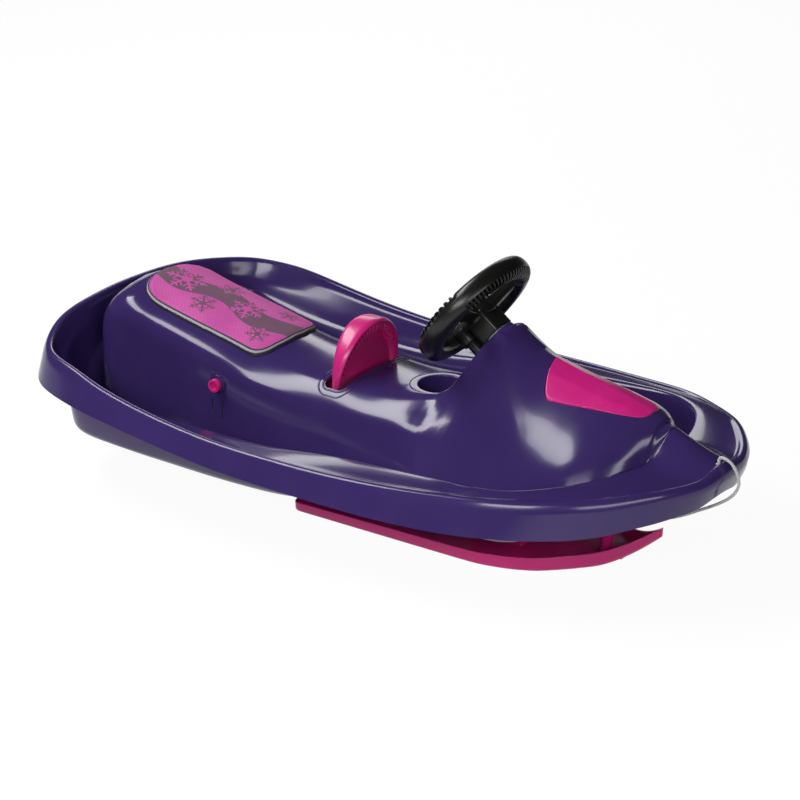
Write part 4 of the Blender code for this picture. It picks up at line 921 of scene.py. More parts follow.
def build_wheel(sizes, looks):
    """Wheel with hub, spokes, ribs and crank boss, then its cap and the crank rod."""
    corners = [(a * 0.0188, b * 0.0188, 0) for a, b in ((1, 1), (-1, 1), (-1, -1), (1, -1))]
    square = [(p.x, p.y) for p in soften(corners, 0.0065, 6, True)]
    hub = ((0, -0.020), (HUB_RADIUS - 0.0014, -0.020), (HUB_RADIUS, -0.014), (HUB_RADIUS - 0.001, -0.004),
           (0.0208, 0.004), (0.0200, 0.0095), (0.0172, 0.0095), (0.0165, 0.0045), (0, 0.0045))
    boss = ((0, -0.026), (0.0136, -0.026), (0.0142, -0.004), (0, -0.004))
    pieces = [build_ring(), prism("hub_block", square, -HUB_END, -0.010, edge=0.0012),
              turned("hub", hub, 72, soft=0.0012)]
    pieces += [build_spoke(math.radians(turn)) for turn in SPOKE_TURNS]
    pieces.append(turned("crank_boss", boss, 40, upright(-CRANK_REACH), soft=0.0014))
    pieces += build_grips(sizes)
    finish(put(weld("wheel", *pieces), COLUMN), looks["black"], "steering_body", "steering_wheel")
    cap = ((0, 0.0046), (0.0161, 0.0046), (0.0161, 0.0106), (0.0140, 0.0128), (0.0070, 0.0138), (0, 0.0139))
    finish(turned("hub_cap", cap, 64, COLUMN, soft=0.0011), looks["cap"], "steering_body", "wheel_cap")
    crank = ((0, -CRANK_END), (CRANK_RADIUS - 0.001, -CRANK_END), (CRANK_RADIUS, -CRANK_END + 0.002),
             (CRANK_RADIUS, -0.0103), (0, -0.0103))
    place = COLUMN @ upright(-CRANK_REACH)
    finish(turned("crank", crank, 40, place, soft=0.0008), looks["black"], "steering_body", "crank_rod")


def ring_point(degrees, share, proud=0.0):
    """Point (radius, height) at an angle round the ring's section, for a share of the section's size."""
    a = math.radians(degrees)
    return (WHEEL_RADIUS + (share * RING_RADIAL + proud) * bent(math.cos(a), RING_POWER),
            (share * RING_DEEP + proud) * bent(math.sin(a), RING_POWER))


def ring_section(turn):
    """Outline of the ring's section at an angle: open towards the hood over the top, and lower on the rider's
    side where the thumb ribs stand."""
    away = math.degrees(abs(math.atan2(math.sin(turn), math.cos(turn))))
    comb = part_way(COMB_TURN - away, 1.5)
    thumb = part_way(away - THUMB_TURNS[0], 1.5) * part_way(THUMB_TURNS[1] - away, 1.5)
    points = []
    for degrees in SECTION_TURNS:
        share = 1.0
        if COMB_SECTION[0] < degrees < COMB_SECTION[1]:
            share = 1 - COMB_DEPTH * comb
        elif THUMB_SECTION[0] < degrees < THUMB_SECTION[1]:
            inside = min(degrees - THUMB_SECTION[0], THUMB_SECTION[1] - degrees)
            share = 1 - THUMB_DEPTH * thumb * part_way(inside, 14)
        radius, height = ring_point(degrees, share)
        points.append((radius * math.cos(turn), radius * math.sin(turn), height))
    return points


def build_ring():
    rows = [ring_section(2 * math.pi * i / 240) for i in range(240)]
    return skin("ring", rows + rows[:1], loop=True, angle=38)


def build_grips(sizes):
    """Ribs across the ring's open side over the top, and thumb ribs on the rider's side of both grips."""
    count = sizes.rib_count
    turns = [math.radians(COMB_TURN - 1) * (2 * i / (count - 1) - 1) for i in range(count)]
    thumbs = [side * math.radians(63 + 54 * i / 8) for side in (1, -1) for i in range(9)]
    return (copies(grip_rib(166, 330, 0.40, 0.0), turns)
            + copies(grip_rib(48, 132, 0.70, sizes.rib_height), thumbs))


def grip_rib(first, last, root, proud):
    """A thin rib over part of the ring's section, between two angles, out from a root share of its size."""
    sweep = np.linspace(first, last, 12)
    outline = [ring_point(a, 1.0, proud) for a in sweep] + [ring_point(a, root) for a in sweep[::-1]]
    return prism("rib", outline, -0.0012, 0.0012, "Y", 0.0004, 1)


def copies(first, turns):
    """Copies of a piece round the wheel's axis, each with its own mesh."""
    made = []
    for turn in turns:
        copy = first.copy()
        copy.data = first.data.copy()
        bpy.context.scene.collection.objects.link(copy)
        made.append(put(copy, Matrix.Rotation(turn, 4, "Z")))
    bpy.data.objects.remove(first)
    return made


def build_spoke(turn):
    """A flat-webbed spoke from the hub to the ring, wider at its outer end."""
    c, s = math.cos(turn), math.sin(turn)
    rows = []
    for reach, half, low, high in ((0.014, 0.0100, -0.017, 0.0035), (0.026, 0.0092, -0.015, 0.0030),
                                   (0.040, 0.0100, -0.012, 0.0030), (0.054, 0.0122, -0.010, 0.0045),
                                   (WHEEL_RADIUS - 0.004, 0.0152, -0.008, 0.0065)):
        ring = soften([(-half, low), (half, low), (half * 0.88, high), (-half * 0.88, high)], 0.003, 3, True)
        rows.append([(reach * c - p.x * s, reach * s + p.x * c, p.y) for p in ring])
    return skin("spoke", rows, loop=True, fill=True)


# ---------------------------------------------------------------- ski

def ski_half_width(x):
    """Half-width of the ski at x: parallel behind, then an arch to the pointed tip."""
    xs = (SKI_REAR, 0.16, 0.20, 0.238, 0.280, 0.306, 0.325, 0.350, 0.385, SKI_TIP)
    ys = (1.0, 1.0, 0.995, 0.94, 0.80, 0.62, 0.47, 0.35, 0.17, 0.012)
    return SKI_HALF_WIDTH * smooth(xs, ys, x)


def ski_rise(x):
    """Height of the ski's underside at x."""
    share = max(0.0, x - SKI_RISE_START) / (SKI_TIP - SKI_RISE_START)
    return SKI_TIP_RISE * share ** 1.8


def build_ski(look):
    """Open tray with its drawn-up tip, the kingpin's post, the mast's bracket and two ribs."""
    xs = [SKI_REAR + step for step in (0, 0.0015, 0.004, 0.009, 0.016)]
    xs += [*np.linspace(-0.06, 0.16, 12), *np.linspace(0.17, SKI_TIP, 64)]
    widths = np.array([ski_half_width(x) for x in xs])
    for _ in range(2):
        widths[18:-1] = (widths[17:-2] + 2 * widths[18:-1] + widths[19:]) / 4
    radii = (0.002, 0.002, 0.0014, 0.0012, 0.0025, 0.0, 0.0025, 0.0012, 0.0014, 0.002, 0.002)
    rows = []
    for x, half in zip(xs, widths):
        back = max(0.0, 1 - (x - SKI_REAR) / SKI_REAR_ROUND)
        half -= SKI_REAR_ROUND * (1 - math.sqrt(max(0.0, 1 - back * back)))
        tip = SKI_TIP_TAPER * max(0.0, (x - SKI_TIP_START) / (SKI_TIP - SKI_TIP_START)) ** 1.5
        base = ski_rise(x) + tip
        inner = max(half - SKI_WALL, half * 0.3)
        slim = max(half - 0.0045, half * 0.5)
        depth = SKI_DEPTH + (SKI_FRONT_DEPTH - SKI_DEPTH) * (x - SKI_REAR) / (SKI_TIP - SKI_REAR) - tip
        closed = x < SKI_REAR + 0.0034 or x > SKI_TIP - 0.006
        floor = base + (depth - 0.0005 if closed else SKI_FLOOR)
        top = base + depth
        ring = [(x, -slim, base), (x, -half, base + 0.003), (x, -half - 0.001, top),
                (x, -inner - 0.0005, top), (x, -inner, floor), (x, 0.0, floor)]
        ring += [(a, -b, c) for a, b, c in ring[-2::-1]]
        rows.append(soften(ring, radii, 3, True))
    pieces = [skin("tray", rows, loop=True, fill=True)]
    hole, floor = KINGPIN_RADIUS + GAP, 0.002
    post = ((0, floor), (POST_RADIUS + 0.004, floor), (POST_RADIUS + 0.001, 0.0075), (POST_RADIUS, 0.014),
            (POST_RADIUS, POST_TOP), (hole, POST_TOP), (hole, 0.02), (0, 0.02))
    pieces.append(turned("post", post, 56, upright(KINGPIN_X), soft=0.0012))
    rear, front = MAST_X - BRACKET_LENGTH / 2, MAST_X + BRACKET_LENGTH / 2
    outline = ((rear - 0.010, floor), (front + 0.008, floor), (front, BRACKET_TOP), (rear, BRACKET_TOP))
    bracket = prism("bracket", outline, -BRACKET_HALF_WIDTH, BRACKET_HALF_WIDTH, "Y", 0.003, 3)
    holes = [turned("hole", plug(0.0026, 0.03, 0.06), 20, upright(MAST_X + step)) for step in (-0.021, 0.021)]
    pieces.append(cut(bracket, weld("holes", *holes)))
    base = ski_rise(0.369)
    for low, high in ((0.001, 0.026), (-0.026, -0.001)):
        pieces.append(block("rib", (0.368, low, base + 0.001), (0.3705, high, base + 0.0125), 0.0008))
    finish(weld("ski", *pieces), look, "ski_body", "front_ski")


# ---------------------------------------------------------------- brake

def arch_point(share, inset=0.0):
    """Point (y, z) of the brake handle's arch; share runs from 0 at one foot to 1 at the other."""
    a = math.pi * share
    return ((BRAKE_HALF_WIDTH - inset) * bent(math.cos(a), 0.96),
            ARCH_FOOT + (BRAKE_TOP - ARCH_FOOT - inset) * math.sin(a) ** 0.98)


def build_brake(sizes, look):
    """Lever with its handle, finger ribs, recessed web, arms and pivot tube, then the two pivot pins."""
    rows = []
    for i in range(81):
        share = 0.5 - 0.5 * math.cos(math.pi * i / 80)
        crown = math.sin(math.pi * share)
        front, rear = BRAKE_X + HANDLE_FRONT + HANDLE_CROWN * crown, BRAKE_X - 0.008 - 0.010 * crown
        outer, middle, low, inner = (arch_point(share, inset) for inset in (0.0, 0.003, 0.007, 0.011))
        ring = [(front, *middle), (front - 0.006, *outer), (rear + 0.005, *outer), (rear, *middle),
                (rear + 0.002, *inner), (BRAKE_X - 0.006, *inner), (front - 0.003, *low)]
        rows.append(soften(ring, (0.003, 0.005, 0.006, 0.004, 0.002, 0.001, 0.0015), 4, True))
    pieces = [skin("lip", rows, loop=True, fill=True, angle=50)]
    web_half, web_foot = 0.064, 0.098
    web = [arch_point(i / 48, 0.006) for i in range(49)]
    web = [(min(max(y, -web_half), web_half), z) for y, z in web]
    web[0], web[-1] = (web_half, web_foot), (-web_half, web_foot)
    pieces.append(prism("web", web, BRAKE_X - 0.013, BRAKE_X - 0.007, "X", 0.0008))
    for i in range(sizes.finger_ribs):
        share = 0.20 + 0.70 * i / (sizes.finger_ribs - 1)
        y, z = arch_point(share, 0.0075)
        reach = HANDLE_FRONT + HANDLE_CROWN * math.sin(math.pi * share) - 0.0035
        tilt = Matrix.Translation((0, y, z)) @ Matrix.Rotation(-math.atan2(y, 0.075), 4, "X")
        rib = block("rib", (BRAKE_X - 0.008, -0.0011, -0.0095), (BRAKE_X + reach, 0.0011, 0.001), 0.0005, 1)
        pieces.append(put(rib, tilt))
    arm = ((PIVOT_X - 0.100, 0.070), (PIVOT_X - 0.095, 0.088), (PIVOT_X - 0.012, PIVOT_Z + 0.004),
           (PIVOT_X + 0.012, PIVOT_Z + 0.004), (PIVOT_X + 0.045, 0.126), (BRAKE_X - 0.030, 0.113),
           (BRAKE_X - 0.003, 0.118), (BRAKE_X - 0.003, 0.101), (BRAKE_X - 0.035, 0.096),
           (PIVOT_X + 0.045, 0.103), (PIVOT_X - 0.006, PIVOT_Z - 0.012), (PIVOT_X - 0.085, 0.068))
    arm = [(p.x, p.z) for p in soften([(x, 0, z) for x, z in arm], 0.006, 3, True)]
    for low, high in ((0.046, 0.053), (-0.053, -0.046)):
        pieces.append(prism("arm", arm, low, high, "Y", 0.001))
    cross = tube(PIN_RADIUS + GAP, 0.0115, -LEVER_HALF_WIDTH, LEVER_HALF_WIDTH)
    pieces.append(turned("tube", cross, 40, pivot_axis(1), soft=0.0008))
    finish(weld("lever", *pieces), look, "brake_body", "brake_lever")
    head = PIN_SEAT + GAP
    profile = ((0, 0.060), (PIN_RADIUS - 0.001, 0.060), (PIN_RADIUS, 0.0615), (PIN_RADIUS, head),
               (PIN_HEAD_RADIUS, head), (PIN_HEAD_RADIUS, head + 0.0075), (0.0052, head + 0.0075),
               (0.0050, head + 0.0025), (0, head + 0.0025))
    for side, name in SIDES:
        pin = turned("pivot_pin_" + name, profile, 48, pivot_axis(side), soft=0.0009)
        finish(pin, look, "hull_body", "brake_pin_" + name)


# ---------------------------------------------------------------- cord

def cord_points(steps):
    """Points of the cord's centreline, a smooth curve through its route."""
    route = [Vector((x, 0.0, z)) for x, z in CORD_ROUTE]
    points = []
    for i in range(len(route) - 1):
        before, start = route[max(i - 1, 0)], route[i]
        end, after = route[i + 1], route[min(i + 2, len(route) - 1)]
        bend = 2 * before - 5 * start + 4 * end - after
        twist = 3 * start - before - 3 * end + after
        for t in (step / steps for step in range(steps)):
            points.append(0.5 * (2 * start + (end - before) * t + bend * t ** 2 + twist * t ** 3))
    return points + [route[-1]]


def build_cord(sizes, look):
    """Twisted cord and its stop knot below the nose."""
    path = cord_points(16)
    length = sum((b - a).length for a, b in zip(path, path[1:]))
    rows = []
    gone = 0.0
    for i, point in enumerate(path):
        if i:
            gone += (point - path[i - 1]).length
        along = (path[min(i + 1, len(path) - 1)] - path[max(i - 1, 0)]).normalized()
        side = Vector((0, 1, 0))
        up = side.cross(along)
        turn = gone / sizes.strand_pitch * 2 * math.pi
        ring = []
        for a in circle(24):
            lobe = 1 - 0.16 * (1 - abs(math.cos(1.5 * (a - turn)))) ** 1.6
            ring.append(point + (side * math.cos(a) + up * math.sin(a)) * (CORD_RADIUS * lobe))
        rows.append(ring)
    cord = skin("cord", rows, loop=True, fill=True, angle=70)
    finish(cord, look, "hull_body", "pull_cord", edges=False)
    knot = build_knot(look)


def build_knot(look):
    """Overhand stop knot under the nose: a trefoil of the same cord drawn tight."""
    centre = Vector((CORD_HOLE_X, 0.0, CORD_START - GAP - 0.0065))
    line = [centre + Vector(((math.sin(t) + 2 * math.sin(2 * t)) * 0.00130,
                             (math.cos(t) - 2 * math.cos(2 * t)) * 0.00130, -math.sin(3 * t) * 0.0023))
            for t in circle(72)]
    knot = loop_rod("stop_knot", line, CORD_RADIUS * 0.95, 1.0, 14, 70)
    return finish(knot, look, "hull_body", "cord_knot", edges=False)


# ---------------------------------------------------------------- materials

class Value:
    """A socket that carries a number, so that shader maths reads as plain arithmetic."""

    def __init__(self, nodes, socket):
        self.nodes, self.socket = nodes, socket

    def math(self, operation, *others):
        return self.nodes.node("ShaderNodeMath", {"operation": operation}, dict(enumerate((self, *others))))

    def __add__(self, other): return self.math("ADD", other)
    def __radd__(self, other): return self.math("ADD", other)
    def __mul__(self, other): return self.math("MULTIPLY", other)
    def __rmul__(self, other): return self.math("MULTIPLY", other)
    def __sub__(self, other): return self.math("SUBTRACT", other)
    def __rsub__(self, other): return (self * -1).math("ADD", other)
    def __pow__(self, other): return self.math("POWER", other)
    def __abs__(self): return self.math("ABSOLUTE")
    def __lt__(self, other): return self.math("LESS_THAN", other)
    def __gt__(self, other): return self.math("GREATER_THAN", other)

    def ramp(self, low, high):
        """0 at low to 1 at high, eased."""
        return self.nodes.node("ShaderNodeMapRange", {"interpolation_type": "SMOOTHSTEP"},
                               {"Value": self, "From Min": low, "From Max": high})


class Nodes:
    """A node tree, and what its nodes are made and linked with."""

    def __init__(self, owner):
        owner.use_nodes = True
        self.tree = owner.node_tree

    def node(self, kind, settings=(), sockets=(), out=0):
        """Adds a node with its settings and inputs, and gives back one of its outputs."""
        made = self.tree.nodes.new(kind)
        for key, value in dict(settings).items():
            setattr(made, key, value)
        for key, value in dict(sockets).items():
            self.link(made.inputs[key], value)
        return Value(self, made.outputs[out])

    def link(self, socket, value):
        if isinstance(value, Value):
            self.tree.links.new(value.socket, socket)
        else:
            socket.default_value = value


class Look(Nodes):
    """One material and what its nodes are made with."""

    def __init__(self, name, colour, roughness, metallic=0.0, coat=0.0):
        self.material = bpy.data.materials.new(name)
        super().__init__(self.material)
        self.shader = self.tree.nodes["Principled BSDF"]
        self.colour = (*colour[:3], 1.0)
        self.feed("Base Color", self.colour)
        self.feed("Roughness", roughness)
        self.feed("Metallic", metallic)
        self.feed("Coat Weight", coat)
        self.place = self.node("ShaderNodeTexCoord", out="Object")

    def feed(self, name, value):
        self.link(self.shader.inputs[name], value)

    def noise(self, scale, detail=3.0, stretch=None):
        place = self.place
        if stretch:
            place = self.node("ShaderNodeMapping", {}, {"Vector": place, "Scale": stretch})
        return self.node("ShaderNodeTexNoise", {}, {"Vector": place, "Scale": scale, "Detail": detail})

    def mix(self, factor, first, second):
        """Colour between first and second; the mix node's colours are its inputs 6 and 7 and its output 2."""
        return self.node("ShaderNodeMix", {"data_type": "RGBA"}, {"Factor": factor, 6: first, 7: second}, 2)

    def shade(self, factor, low, high):
        """The look's own colour between two brightnesses."""
        return self.mix(factor, tint(self.colour, low), tint(self.colour, high))

    def axis(self, index):
        return self.node("ShaderNodeSeparateXYZ", {}, {0: self.place}, index)

    def attribute(self, name):
        return self.node("ShaderNodeAttribute", {"attribute_name": name}, out="Fac")

    def bump(self, height, strength, distance):
        settings = {"Strength": strength, "Distance": distance, "Height": height}
        self.feed("Normal", self.node("ShaderNodeBump", {}, settings))


def tint(colour, factor, grey=0.0):
    """A colour made lighter or darker, and nearer to grey."""
    mean = sum(colour[:3]) / 3
    return (*[min(1.0, max(0.0, c + (mean - c) * grey) * factor) for c in colour[:3]], 1.0)


def plastic(name, colour, roughness, coat=0.0, grain=260.0, depth=0.00002, worn=0.5, scuff=0.5, ior=1.47):
    """Moulded plastic: slow shade changes, fine mould texture, rubbed edges and fine scuffs."""
    look = Look(name, colour, roughness, coat=coat)
    look.feed("IOR", ior)
    slow = look.noise(3.2, 2.0)
    cloud = look.noise(17.0, 4.0)
    fine = look.noise(grain, 2.0)
    scratch = look.noise(60.0, 4.0, (0.5, 5.0, 2.5)).ramp(0.64, 0.80)
    edge = look.attribute("edge")
    rubbed = (edge.ramp(0.5, 1.0) * look.noise(48.0, 4.0).ramp(0.50, 0.70)) * worn
    colour = look.shade(slow.ramp(0.35, 0.68), 0.93, 1.06)
    colour = look.mix(cloud.ramp(0.42, 0.72) * 0.5, colour, tint(look.colour, 1.10, 0.05))
    colour = look.mix(rubbed, colour, tint(look.colour, 1.4, 0.3))
    look.feed("Base Color", colour)
    look.feed("Roughness", roughness + (cloud - 0.5) * 0.07 + scratch * (0.05 * scuff) + rubbed * 0.16)
    look.bump(fine * 0.8 + slow * 0.2, 0.35, depth)
    return look


def pad_look(colours):
    """Printed foam: pink ground, a dark wavy band, six-armed crystals, a fine lattice and a border of a pale
    and a dark printed line, with painted shade along the outer edge.
    """
    look = Look("pad_foam", tint(colours["pad"], 1.06, -0.10), 0.62)
    x, y = look.axis(0), look.axis(1)
    inside = look.attribute("inside")
    grey = (*colours["pad_grey"], 1.0)
    pale = (*colours["pad_line"], 1.0)

    def crystal(cx, cy, size, turn):
        """1 inside a six-armed crystal."""
        dx, dy = x - cx, y - cy
        reach = (dx * dx + dy * dy) ** 0.5
        angle = dy.math("ARCTAN2", dx) + (turn + 2 * math.pi)
        fold = abs(angle.math("MODULO", math.pi / 3) - math.pi / 6)
        along, away = reach * fold.math("COSINE"), reach * fold.math("SINE")
        arm = (away < size * 0.055) * (along < size)
        for share, length in ((0.42, 0.30), (0.68, 0.22)):
            slant = abs(along - away * 0.62 - size * share) < size * 0.045
            arm = arm.math("MAXIMUM", slant * (away < size * length))
        core = abs(along - size * 0.20) < size * 0.045
        return arm.math("MAXIMUM", core)

    marks, *others = [crystal(lengthwise(cx), cy, size, turn) for cx, cy, size, turn in CRYSTALS]
    for mark in others:
        marks = marks.math("MAXIMUM", mark)
    band = 1 - abs(y + (x * 46.0).math("SINE") * 0.010).ramp(0.020, 0.0215)
    threads = [abs((slant * 150.0).math("FRACT") - 0.5).ramp(0.40, 0.47) for slant in (x + y, x - y)]
    lattice = threads[0].math("MAXIMUM", threads[1])
    fade = look.noise(14.0, 3.0).ramp(0.35, 0.65)
    ground = look.mix(fade * 0.6, look.colour, tint(look.colour, 1.25, 0.12))
    ground = look.mix(band * 0.82, ground, grey)
    ground = look.mix(lattice * (1 - band) * 0.30, ground, grey)
    ground = look.mix(marks * (1 - band) * 0.85, ground, grey)
    ground = look.mix(marks * band * 0.9, ground, tint(look.colour, 1.15))
    first, second, third = PAD_LINES
    # The dark mask holds the dark printed line and, nearest the edge, a band of painted shade where the
    # rounded edge turns down.
    dark = (inside > second) * (inside < third) + (inside < first)
    light = (inside > first) * (inside < second)
    ground = look.mix(light, ground, pale)
    # Near-black for both the dark printed line and the painted edge shade.
    ground = look.mix(dark, ground, (0.022, 0.020, 0.030, 1.0))
    look.feed("Base Color", ground)
    cells = look.node("ShaderNodeTexVoronoi", {}, {"Vector": look.place, "Scale": 900.0})
    look.feed("Roughness", 0.58 + fade * 0.10 + cells * 0.1)
    look.bump(cells, 0.30, 0.00012)
    return look


def steel_look(name, colour):
    """Zinc plate: dull patches, fine brushing and a little cloudiness."""
    look = Look(name, colour, 0.34, metallic=1.0)
    brushed = look.noise(60.0, 4.0, (1.0, 1.0, 22.0))
    patch = look.noise(90.0, 4.0).ramp(0.35, 0.70)
    tone = look.shade(patch, 0.82, 1.10)
    look.feed("Base Color", look.mix(brushed.ramp(0.4, 0.7) * 0.35, tone, tint(look.colour, 0.7)))
    look.feed("Roughness", 0.26 + patch * 0.16 + brushed * 0.08)
    look.bump(brushed, 0.2, 0.00002)
    return look


def nylon_look(name, colour):
    """Natural nylon: a slight cloudiness and a fine grain."""
    look = Look(name, colour, 0.42)
    cloud = look.noise(120.0, 3.0)
    look.feed("Base Color", look.shade(cloud.ramp(0.35, 0.7), 0.90, 1.05))
    look.feed("Roughness", 0.36 + cloud * 0.14)
    look.bump(look.noise(900.0, 2.0), 0.2, 0.00002)
    return look


def cord_look(name, colour):
    """Braided polyester: short crossing threads, darker in the hollows between them, with flecks of darker
    grey.
    """
    look = Look(name, colour, 0.78)
    threads = look.node("ShaderNodeTexWave", {"wave_type": "BANDS", "bands_direction": "DIAGONAL"},
                        {"Vector": look.place, "Scale": 420.0, "Distortion": 3.0, "Detail": 1.0})
    fleck = look.noise(700.0, 2.0).ramp(0.60, 0.72)
    # Colour follows the threads' bump height: darker where it is low.
    tone = look.shade(threads, 0.72, 1.08)
    look.feed("Base Color", look.mix(fleck * 0.35, tone, (0.30, 0.30, 0.33, 1.0)))
    look.feed("Roughness", 0.72 + threads * 0.14)
    look.bump(threads, 0.5, 0.0002)
    return look


def make_looks(colours):
    """All looks by short name; each material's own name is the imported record's slot."""
    return {
        "purple": plastic("hull_purple", tint(colours["hull"], 1.12), 0.17, coat=0.12, worn=0.10, ior=1.42),
        "pink": plastic("ski_pink", tint(colours["ski"], 1.18, -0.08), 0.30, coat=0.2, worn=0.15),
        "panel": plastic("panel_pink", tint(colours["panel"], 1.10, -0.06), 0.26, coat=0.2, worn=0.10,
                         scuff=0.4),
        "black": plastic("wheel_black", tint(colours["wheel"], 0.62), 0.30, grain=900.0, depth=0.00005,
                         worn=0.30),
        "cap": plastic("cap_black", colours["wheel"], 0.28, grain=700.0, worn=0.3, scuff=0.3),
        "pad": pad_look(colours),
        "steel": steel_look("zinc_steel", colours["steel"]),
        "nylon": nylon_look("bush_nylon", colours["nylon"]),
        "cord": cord_look("cord_grey", colours["cord"]),
    }


# ---------------------------------------------------------------- stage

def build_stage():
    """Pale floor, soft lamps, white surround and the camera of the photograph."""
    take()
    bpy.ops.mesh.primitive_plane_add(size=60, location=(0, 0, 0))
    floor = bpy.context.object
    floor.name = "studio_floor"
    surface = bpy.data.materials.new("studio_paper")
    paper = Nodes(surface)
    paper.tree.nodes.clear()
    lit = paper.node("ShaderNodeBsdfDiffuse", {}, {"Color": PAPER})
    glow = paper.node("ShaderNodeEmission", {}, {"Color": WHITE, "Strength": GLOW})
    seen = paper.node("ShaderNodeLightPath", out="Is Camera Ray")
    mirrored = paper.node("ShaderNodeLightPath", out="Is Glossy Ray")
    share = mirrored * GLOW_MIRRORED + seen * GLOW_SEEN
    mix = paper.node("ShaderNodeMixShader", {}, {0: share, 1: lit, 2: glow})
    paper.link(paper.tree.nodes.new("ShaderNodeOutputMaterial").inputs[0], mix)
    floor.data.materials.append(surface)

    world = bpy.data.worlds.new("studio")
    bpy.context.scene.world = world
    sky = Nodes(world)
    place = sky.node("ShaderNodeTexCoord", out="Generated")
    height = sky.node("ShaderNodeSeparateXYZ", {}, {0: place}, "Z")
    horizon = sky.node("ShaderNodeMapRange", {"interpolation_type": "SMOOTHSTEP"},
                       {"Value": height, **HORIZON})
    seen = sky.node("ShaderNodeLightPath", out="Is Camera Ray")
    strength = sky.node("ShaderNodeMix", {}, {0: seen, 2: horizon, 3: 1.0})
    sky.link(sky.tree.nodes["Background"].inputs["Strength"], strength)

    for name, place, size, watts in LAMPS:
        lamp = bpy.data.lights.new(name, "AREA")
        lamp.shape, lamp.size, lamp.size_y, lamp.energy = "RECTANGLE", *size, watts
        aim(bpy.data.objects.new(name, lamp), Vector(place), Vector(LAMP_TARGET))

    towards = Vector((math.sin(CAMERA_AZIMUTH) * math.cos(CAMERA_ELEVATION),
                      -math.cos(CAMERA_AZIMUTH) * math.cos(CAMERA_ELEVATION), math.sin(CAMERA_ELEVATION)))
    view = bpy.data.cameras.new("photo_camera")
    view.sensor_width, view.lens, view.clip_end = CAMERA_SENSOR, CAMERA_LENS, 100.0
    camera = bpy.data.objects.new("photo_camera", view)
    target = Vector(CAMERA_TARGET)
    aim(camera, target + towards * CAMERA_DISTANCE, target)
    bpy.context.scene.camera = camera
    bpy.context.scene.view_settings.view_transform = "Standard"


def aim(obj, place, target):
    """Sets a lamp or the camera in the scene, turned to its target."""
    bpy.context.scene.collection.objects.link(obj)
    obj.location = place
    obj.rotation_euler = (target - place).to_track_quat("-Z", "Y").to_euler()


# ---------------------------------------------------------------- add-on

MADE = {}                  # looks and surfaces that the operators share


def colour_property(name, words, value):
    return FloatVectorProperty(name=name, description=words, default=value, subtype="COLOR", size=3,
                               min=0, max=1)


def packed(slot):
    """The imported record's colour of a slot."""
    return tuple(m["base_color"] for m in frame["record"]["materials"] if m["slot"] == slot)[0]


class SledSizes(bpy.types.PropertyGroup):
    wall: FloatProperty(name="Hull wall", description="Thickness of the moulded hull", default=0.0030,
                        unit="LENGTH", min=0.001, max=0.005)
    rib_height: FloatProperty(name="Grip rib height", description="How far the thumb ribs stand proud",
                              default=0.0011, unit="LENGTH", min=0, max=0.003)
    rib_count: IntProperty(name="Grip ribs", description="Ribs over the top of the wheel", default=27,
                           min=8, max=60)
    finger_ribs: IntProperty(name="Handle ribs", description="Finger ribs under the brake handle", default=21,
                             min=3, max=40)
    strand_pitch: FloatProperty(name="Cord pitch", description="Length of one turn of the cord's strands",
                                default=0.0105, unit="LENGTH", min=0.004, max=0.03)


class SledColours(bpy.types.PropertyGroup):
    hull: colour_property("Hull", "Deep purple of the hull", packed("hull_purple"))
    ski: colour_property("Ski and brake", "Pink of the ski, brake and pins", packed("ski_pink"))
    panel: colour_property("Hood panel", "Pink of the hood's cover", packed("panel_pink"))
    pad: colour_property("Seat pad", "Pink ground of the foam pad", packed("pad_foam"))
    pad_grey: colour_property("Pad print", "Dark grey of the pad's print", (0.060, 0.070, 0.070))
    pad_line: colour_property("Pad border", "Pale line inside the pad's edge", (0.42, 0.40, 0.46))
    wheel: colour_property("Wheel", "Black of the wheel", packed("wheel_black"))
    steel: colour_property("Steel", "Zinc-plated steel", packed("zinc_steel"))
    nylon: colour_property("Bushes", "Natural nylon of the bushes", packed("bush_nylon"))
    cord: colour_property("Cord", "Pale grey of the cord", packed("cord_grey"))


def looks():
    """The materials by short name, made once from the panel's colours."""
    if "looks" not in MADE:
        colours = bpy.context.scene.sled_colours
        names = ("hull", "ski", "panel", "pad", "pad_grey", "pad_line", "wheel", "steel", "nylon", "cord")
        made = make_looks({name: tuple(getattr(colours, name)) for name in names})
        MADE["looks"] = {name: look.material for name, look in made.items()}
    return MADE["looks"]


class SLED_OT_hull(bpy.types.Operator):
    """Models the hull's shell with its openings and moulded fittings"""
    bl_idname = "sled.hull"
    bl_label = "Hull"

    def execute(self, context):
        MADE["surface"] = build_hull(context.scene.sled_sizes, looks()["purple"])
        build_hull_fittings(MADE["surface"], looks()["purple"])
        return {"FINISHED"}


class SLED_OT_seat_pad(bpy.types.Operator):
    """Models the foam seat pad on the hull's spine"""
    bl_idname = "sled.seat_pad"
    bl_label = "Seat pad"

    def execute(self, context):
        build_pad(MADE["surface"], looks()["pad"])
        return {"FINISHED"}


class SLED_OT_hood_panel(bpy.types.Operator):
    """Models the cover in the hood's opening"""
    bl_idname = "sled.hood_panel"
    bl_label = "Hood panel"

    def execute(self, context):
        build_panel(looks()["panel"])
        return {"FINISHED"}


class SLED_OT_steering_wheel(bpy.types.Operator):
    """Models the wheel with its grip ribs, spokes and hub, its cap and the crank rod"""
    bl_idname = "sled.steering_wheel"
    bl_label = "Steering wheel"

    def execute(self, context):
        build_wheel(context.scene.sled_sizes, looks())
        return {"FINISHED"}


class SLED_OT_front_ski(bpy.types.Operator):
    """Models the front ski with its post and bracket"""
    bl_idname = "sled.front_ski"
    bl_label = "Front ski"

    def execute(self, context):
        build_ski(looks()["pink"])
        return {"FINISHED"}


class SLED_OT_brake(bpy.types.Operator):
    """Models the brake lever and its pivot pins"""
    bl_idname = "sled.brake"
    bl_label = "Hand brake"

    def execute(self, context):
        build_brake(context.scene.sled_sizes, looks()["pink"])
        return {"FINISHED"}


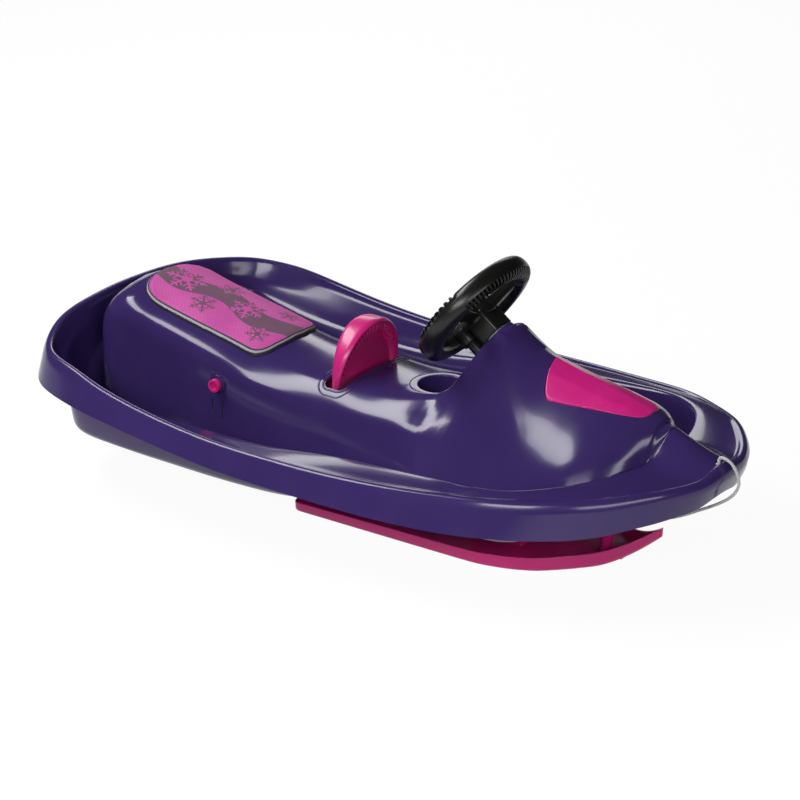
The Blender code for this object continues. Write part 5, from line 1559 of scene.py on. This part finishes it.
class SLED_OT_pull_cord(bpy.types.Operator):
    """Models the twisted pull cord and its stop knot"""
    bl_idname = "sled.pull_cord"
    bl_label = "Pull cord"

    def execute(self, context):
        build_cord(context.scene.sled_sizes, looks()["cord"])
        return {"FINISHED"}


class SLED_OT_hardware(bpy.types.Operator):
    """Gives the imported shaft, mast, kingpin, claws, screws and bushes their finishes"""
    bl_idname = "sled.hardware"
    bl_label = "Hardware finishes"

    def execute(self, context):
        names = {"zinc_steel": "steel", "bush_nylon": "nylon"}
        for part in frame["record"]["subparts"]:
            node = frame["nodes"][part["node"]]
            if part["material_slot"] in names and not node.hide_render:
                node.data.materials.clear()
                node.data.materials.append(looks()[names[part["material_slot"]]])
        return {"FINISHED"}


class SLED_OT_stage(bpy.types.Operator):
    """Sets the floor, the lamps and the camera"""
    bl_idname = "sled.stage"
    bl_label = "Stage"

    def execute(self, context):
        build_stage()
        return {"FINISHED"}


STEPS = (SLED_OT_stage, SLED_OT_pull_cord, SLED_OT_hull, SLED_OT_seat_pad, SLED_OT_hood_panel,
         SLED_OT_steering_wheel, SLED_OT_front_ski, SLED_OT_brake, SLED_OT_hardware)


class SLED_PT_panel(bpy.types.Panel):
    """Lists the sled's sizes, colours and building steps"""
    bl_idname = "SLED_PT_panel"
    bl_label = "Steering sled"
    bl_space_type = "VIEW_3D"
    bl_region_type = "UI"
    bl_category = "Sled"

    def draw(self, context):
        for group in (context.scene.sled_sizes, context.scene.sled_colours):
            box = self.layout.box()
            for name in group.__annotations__:
                box.prop(group, name)
        for step in STEPS:
            self.layout.operator(step.bl_idname)


def register():
    for kind in (SledSizes, SledColours, *STEPS, SLED_PT_panel):
        bpy.utils.register_class(kind)
    bpy.types.Scene.sled_sizes = PointerProperty(type=SledSizes)
    bpy.types.Scene.sled_colours = PointerProperty(type=SledColours)


def unregister():
    del bpy.types.Scene.sled_colours
    del bpy.types.Scene.sled_sizes
    for kind in (SLED_PT_panel, *STEPS[::-1], SledColours, SledSizes):
        bpy.utils.unregister_class(kind)


def main():
    register()
    for old in [o for o in bpy.data.objects if o.name in ("Cube", "Light", "Camera")]:
        bpy.data.objects.remove(old)
    for step in STEPS:
        group, name = step.bl_idname.split(".")
        getattr(getattr(bpy.ops, group), name)()
    take()


if __name__ == "__main__":
    main()
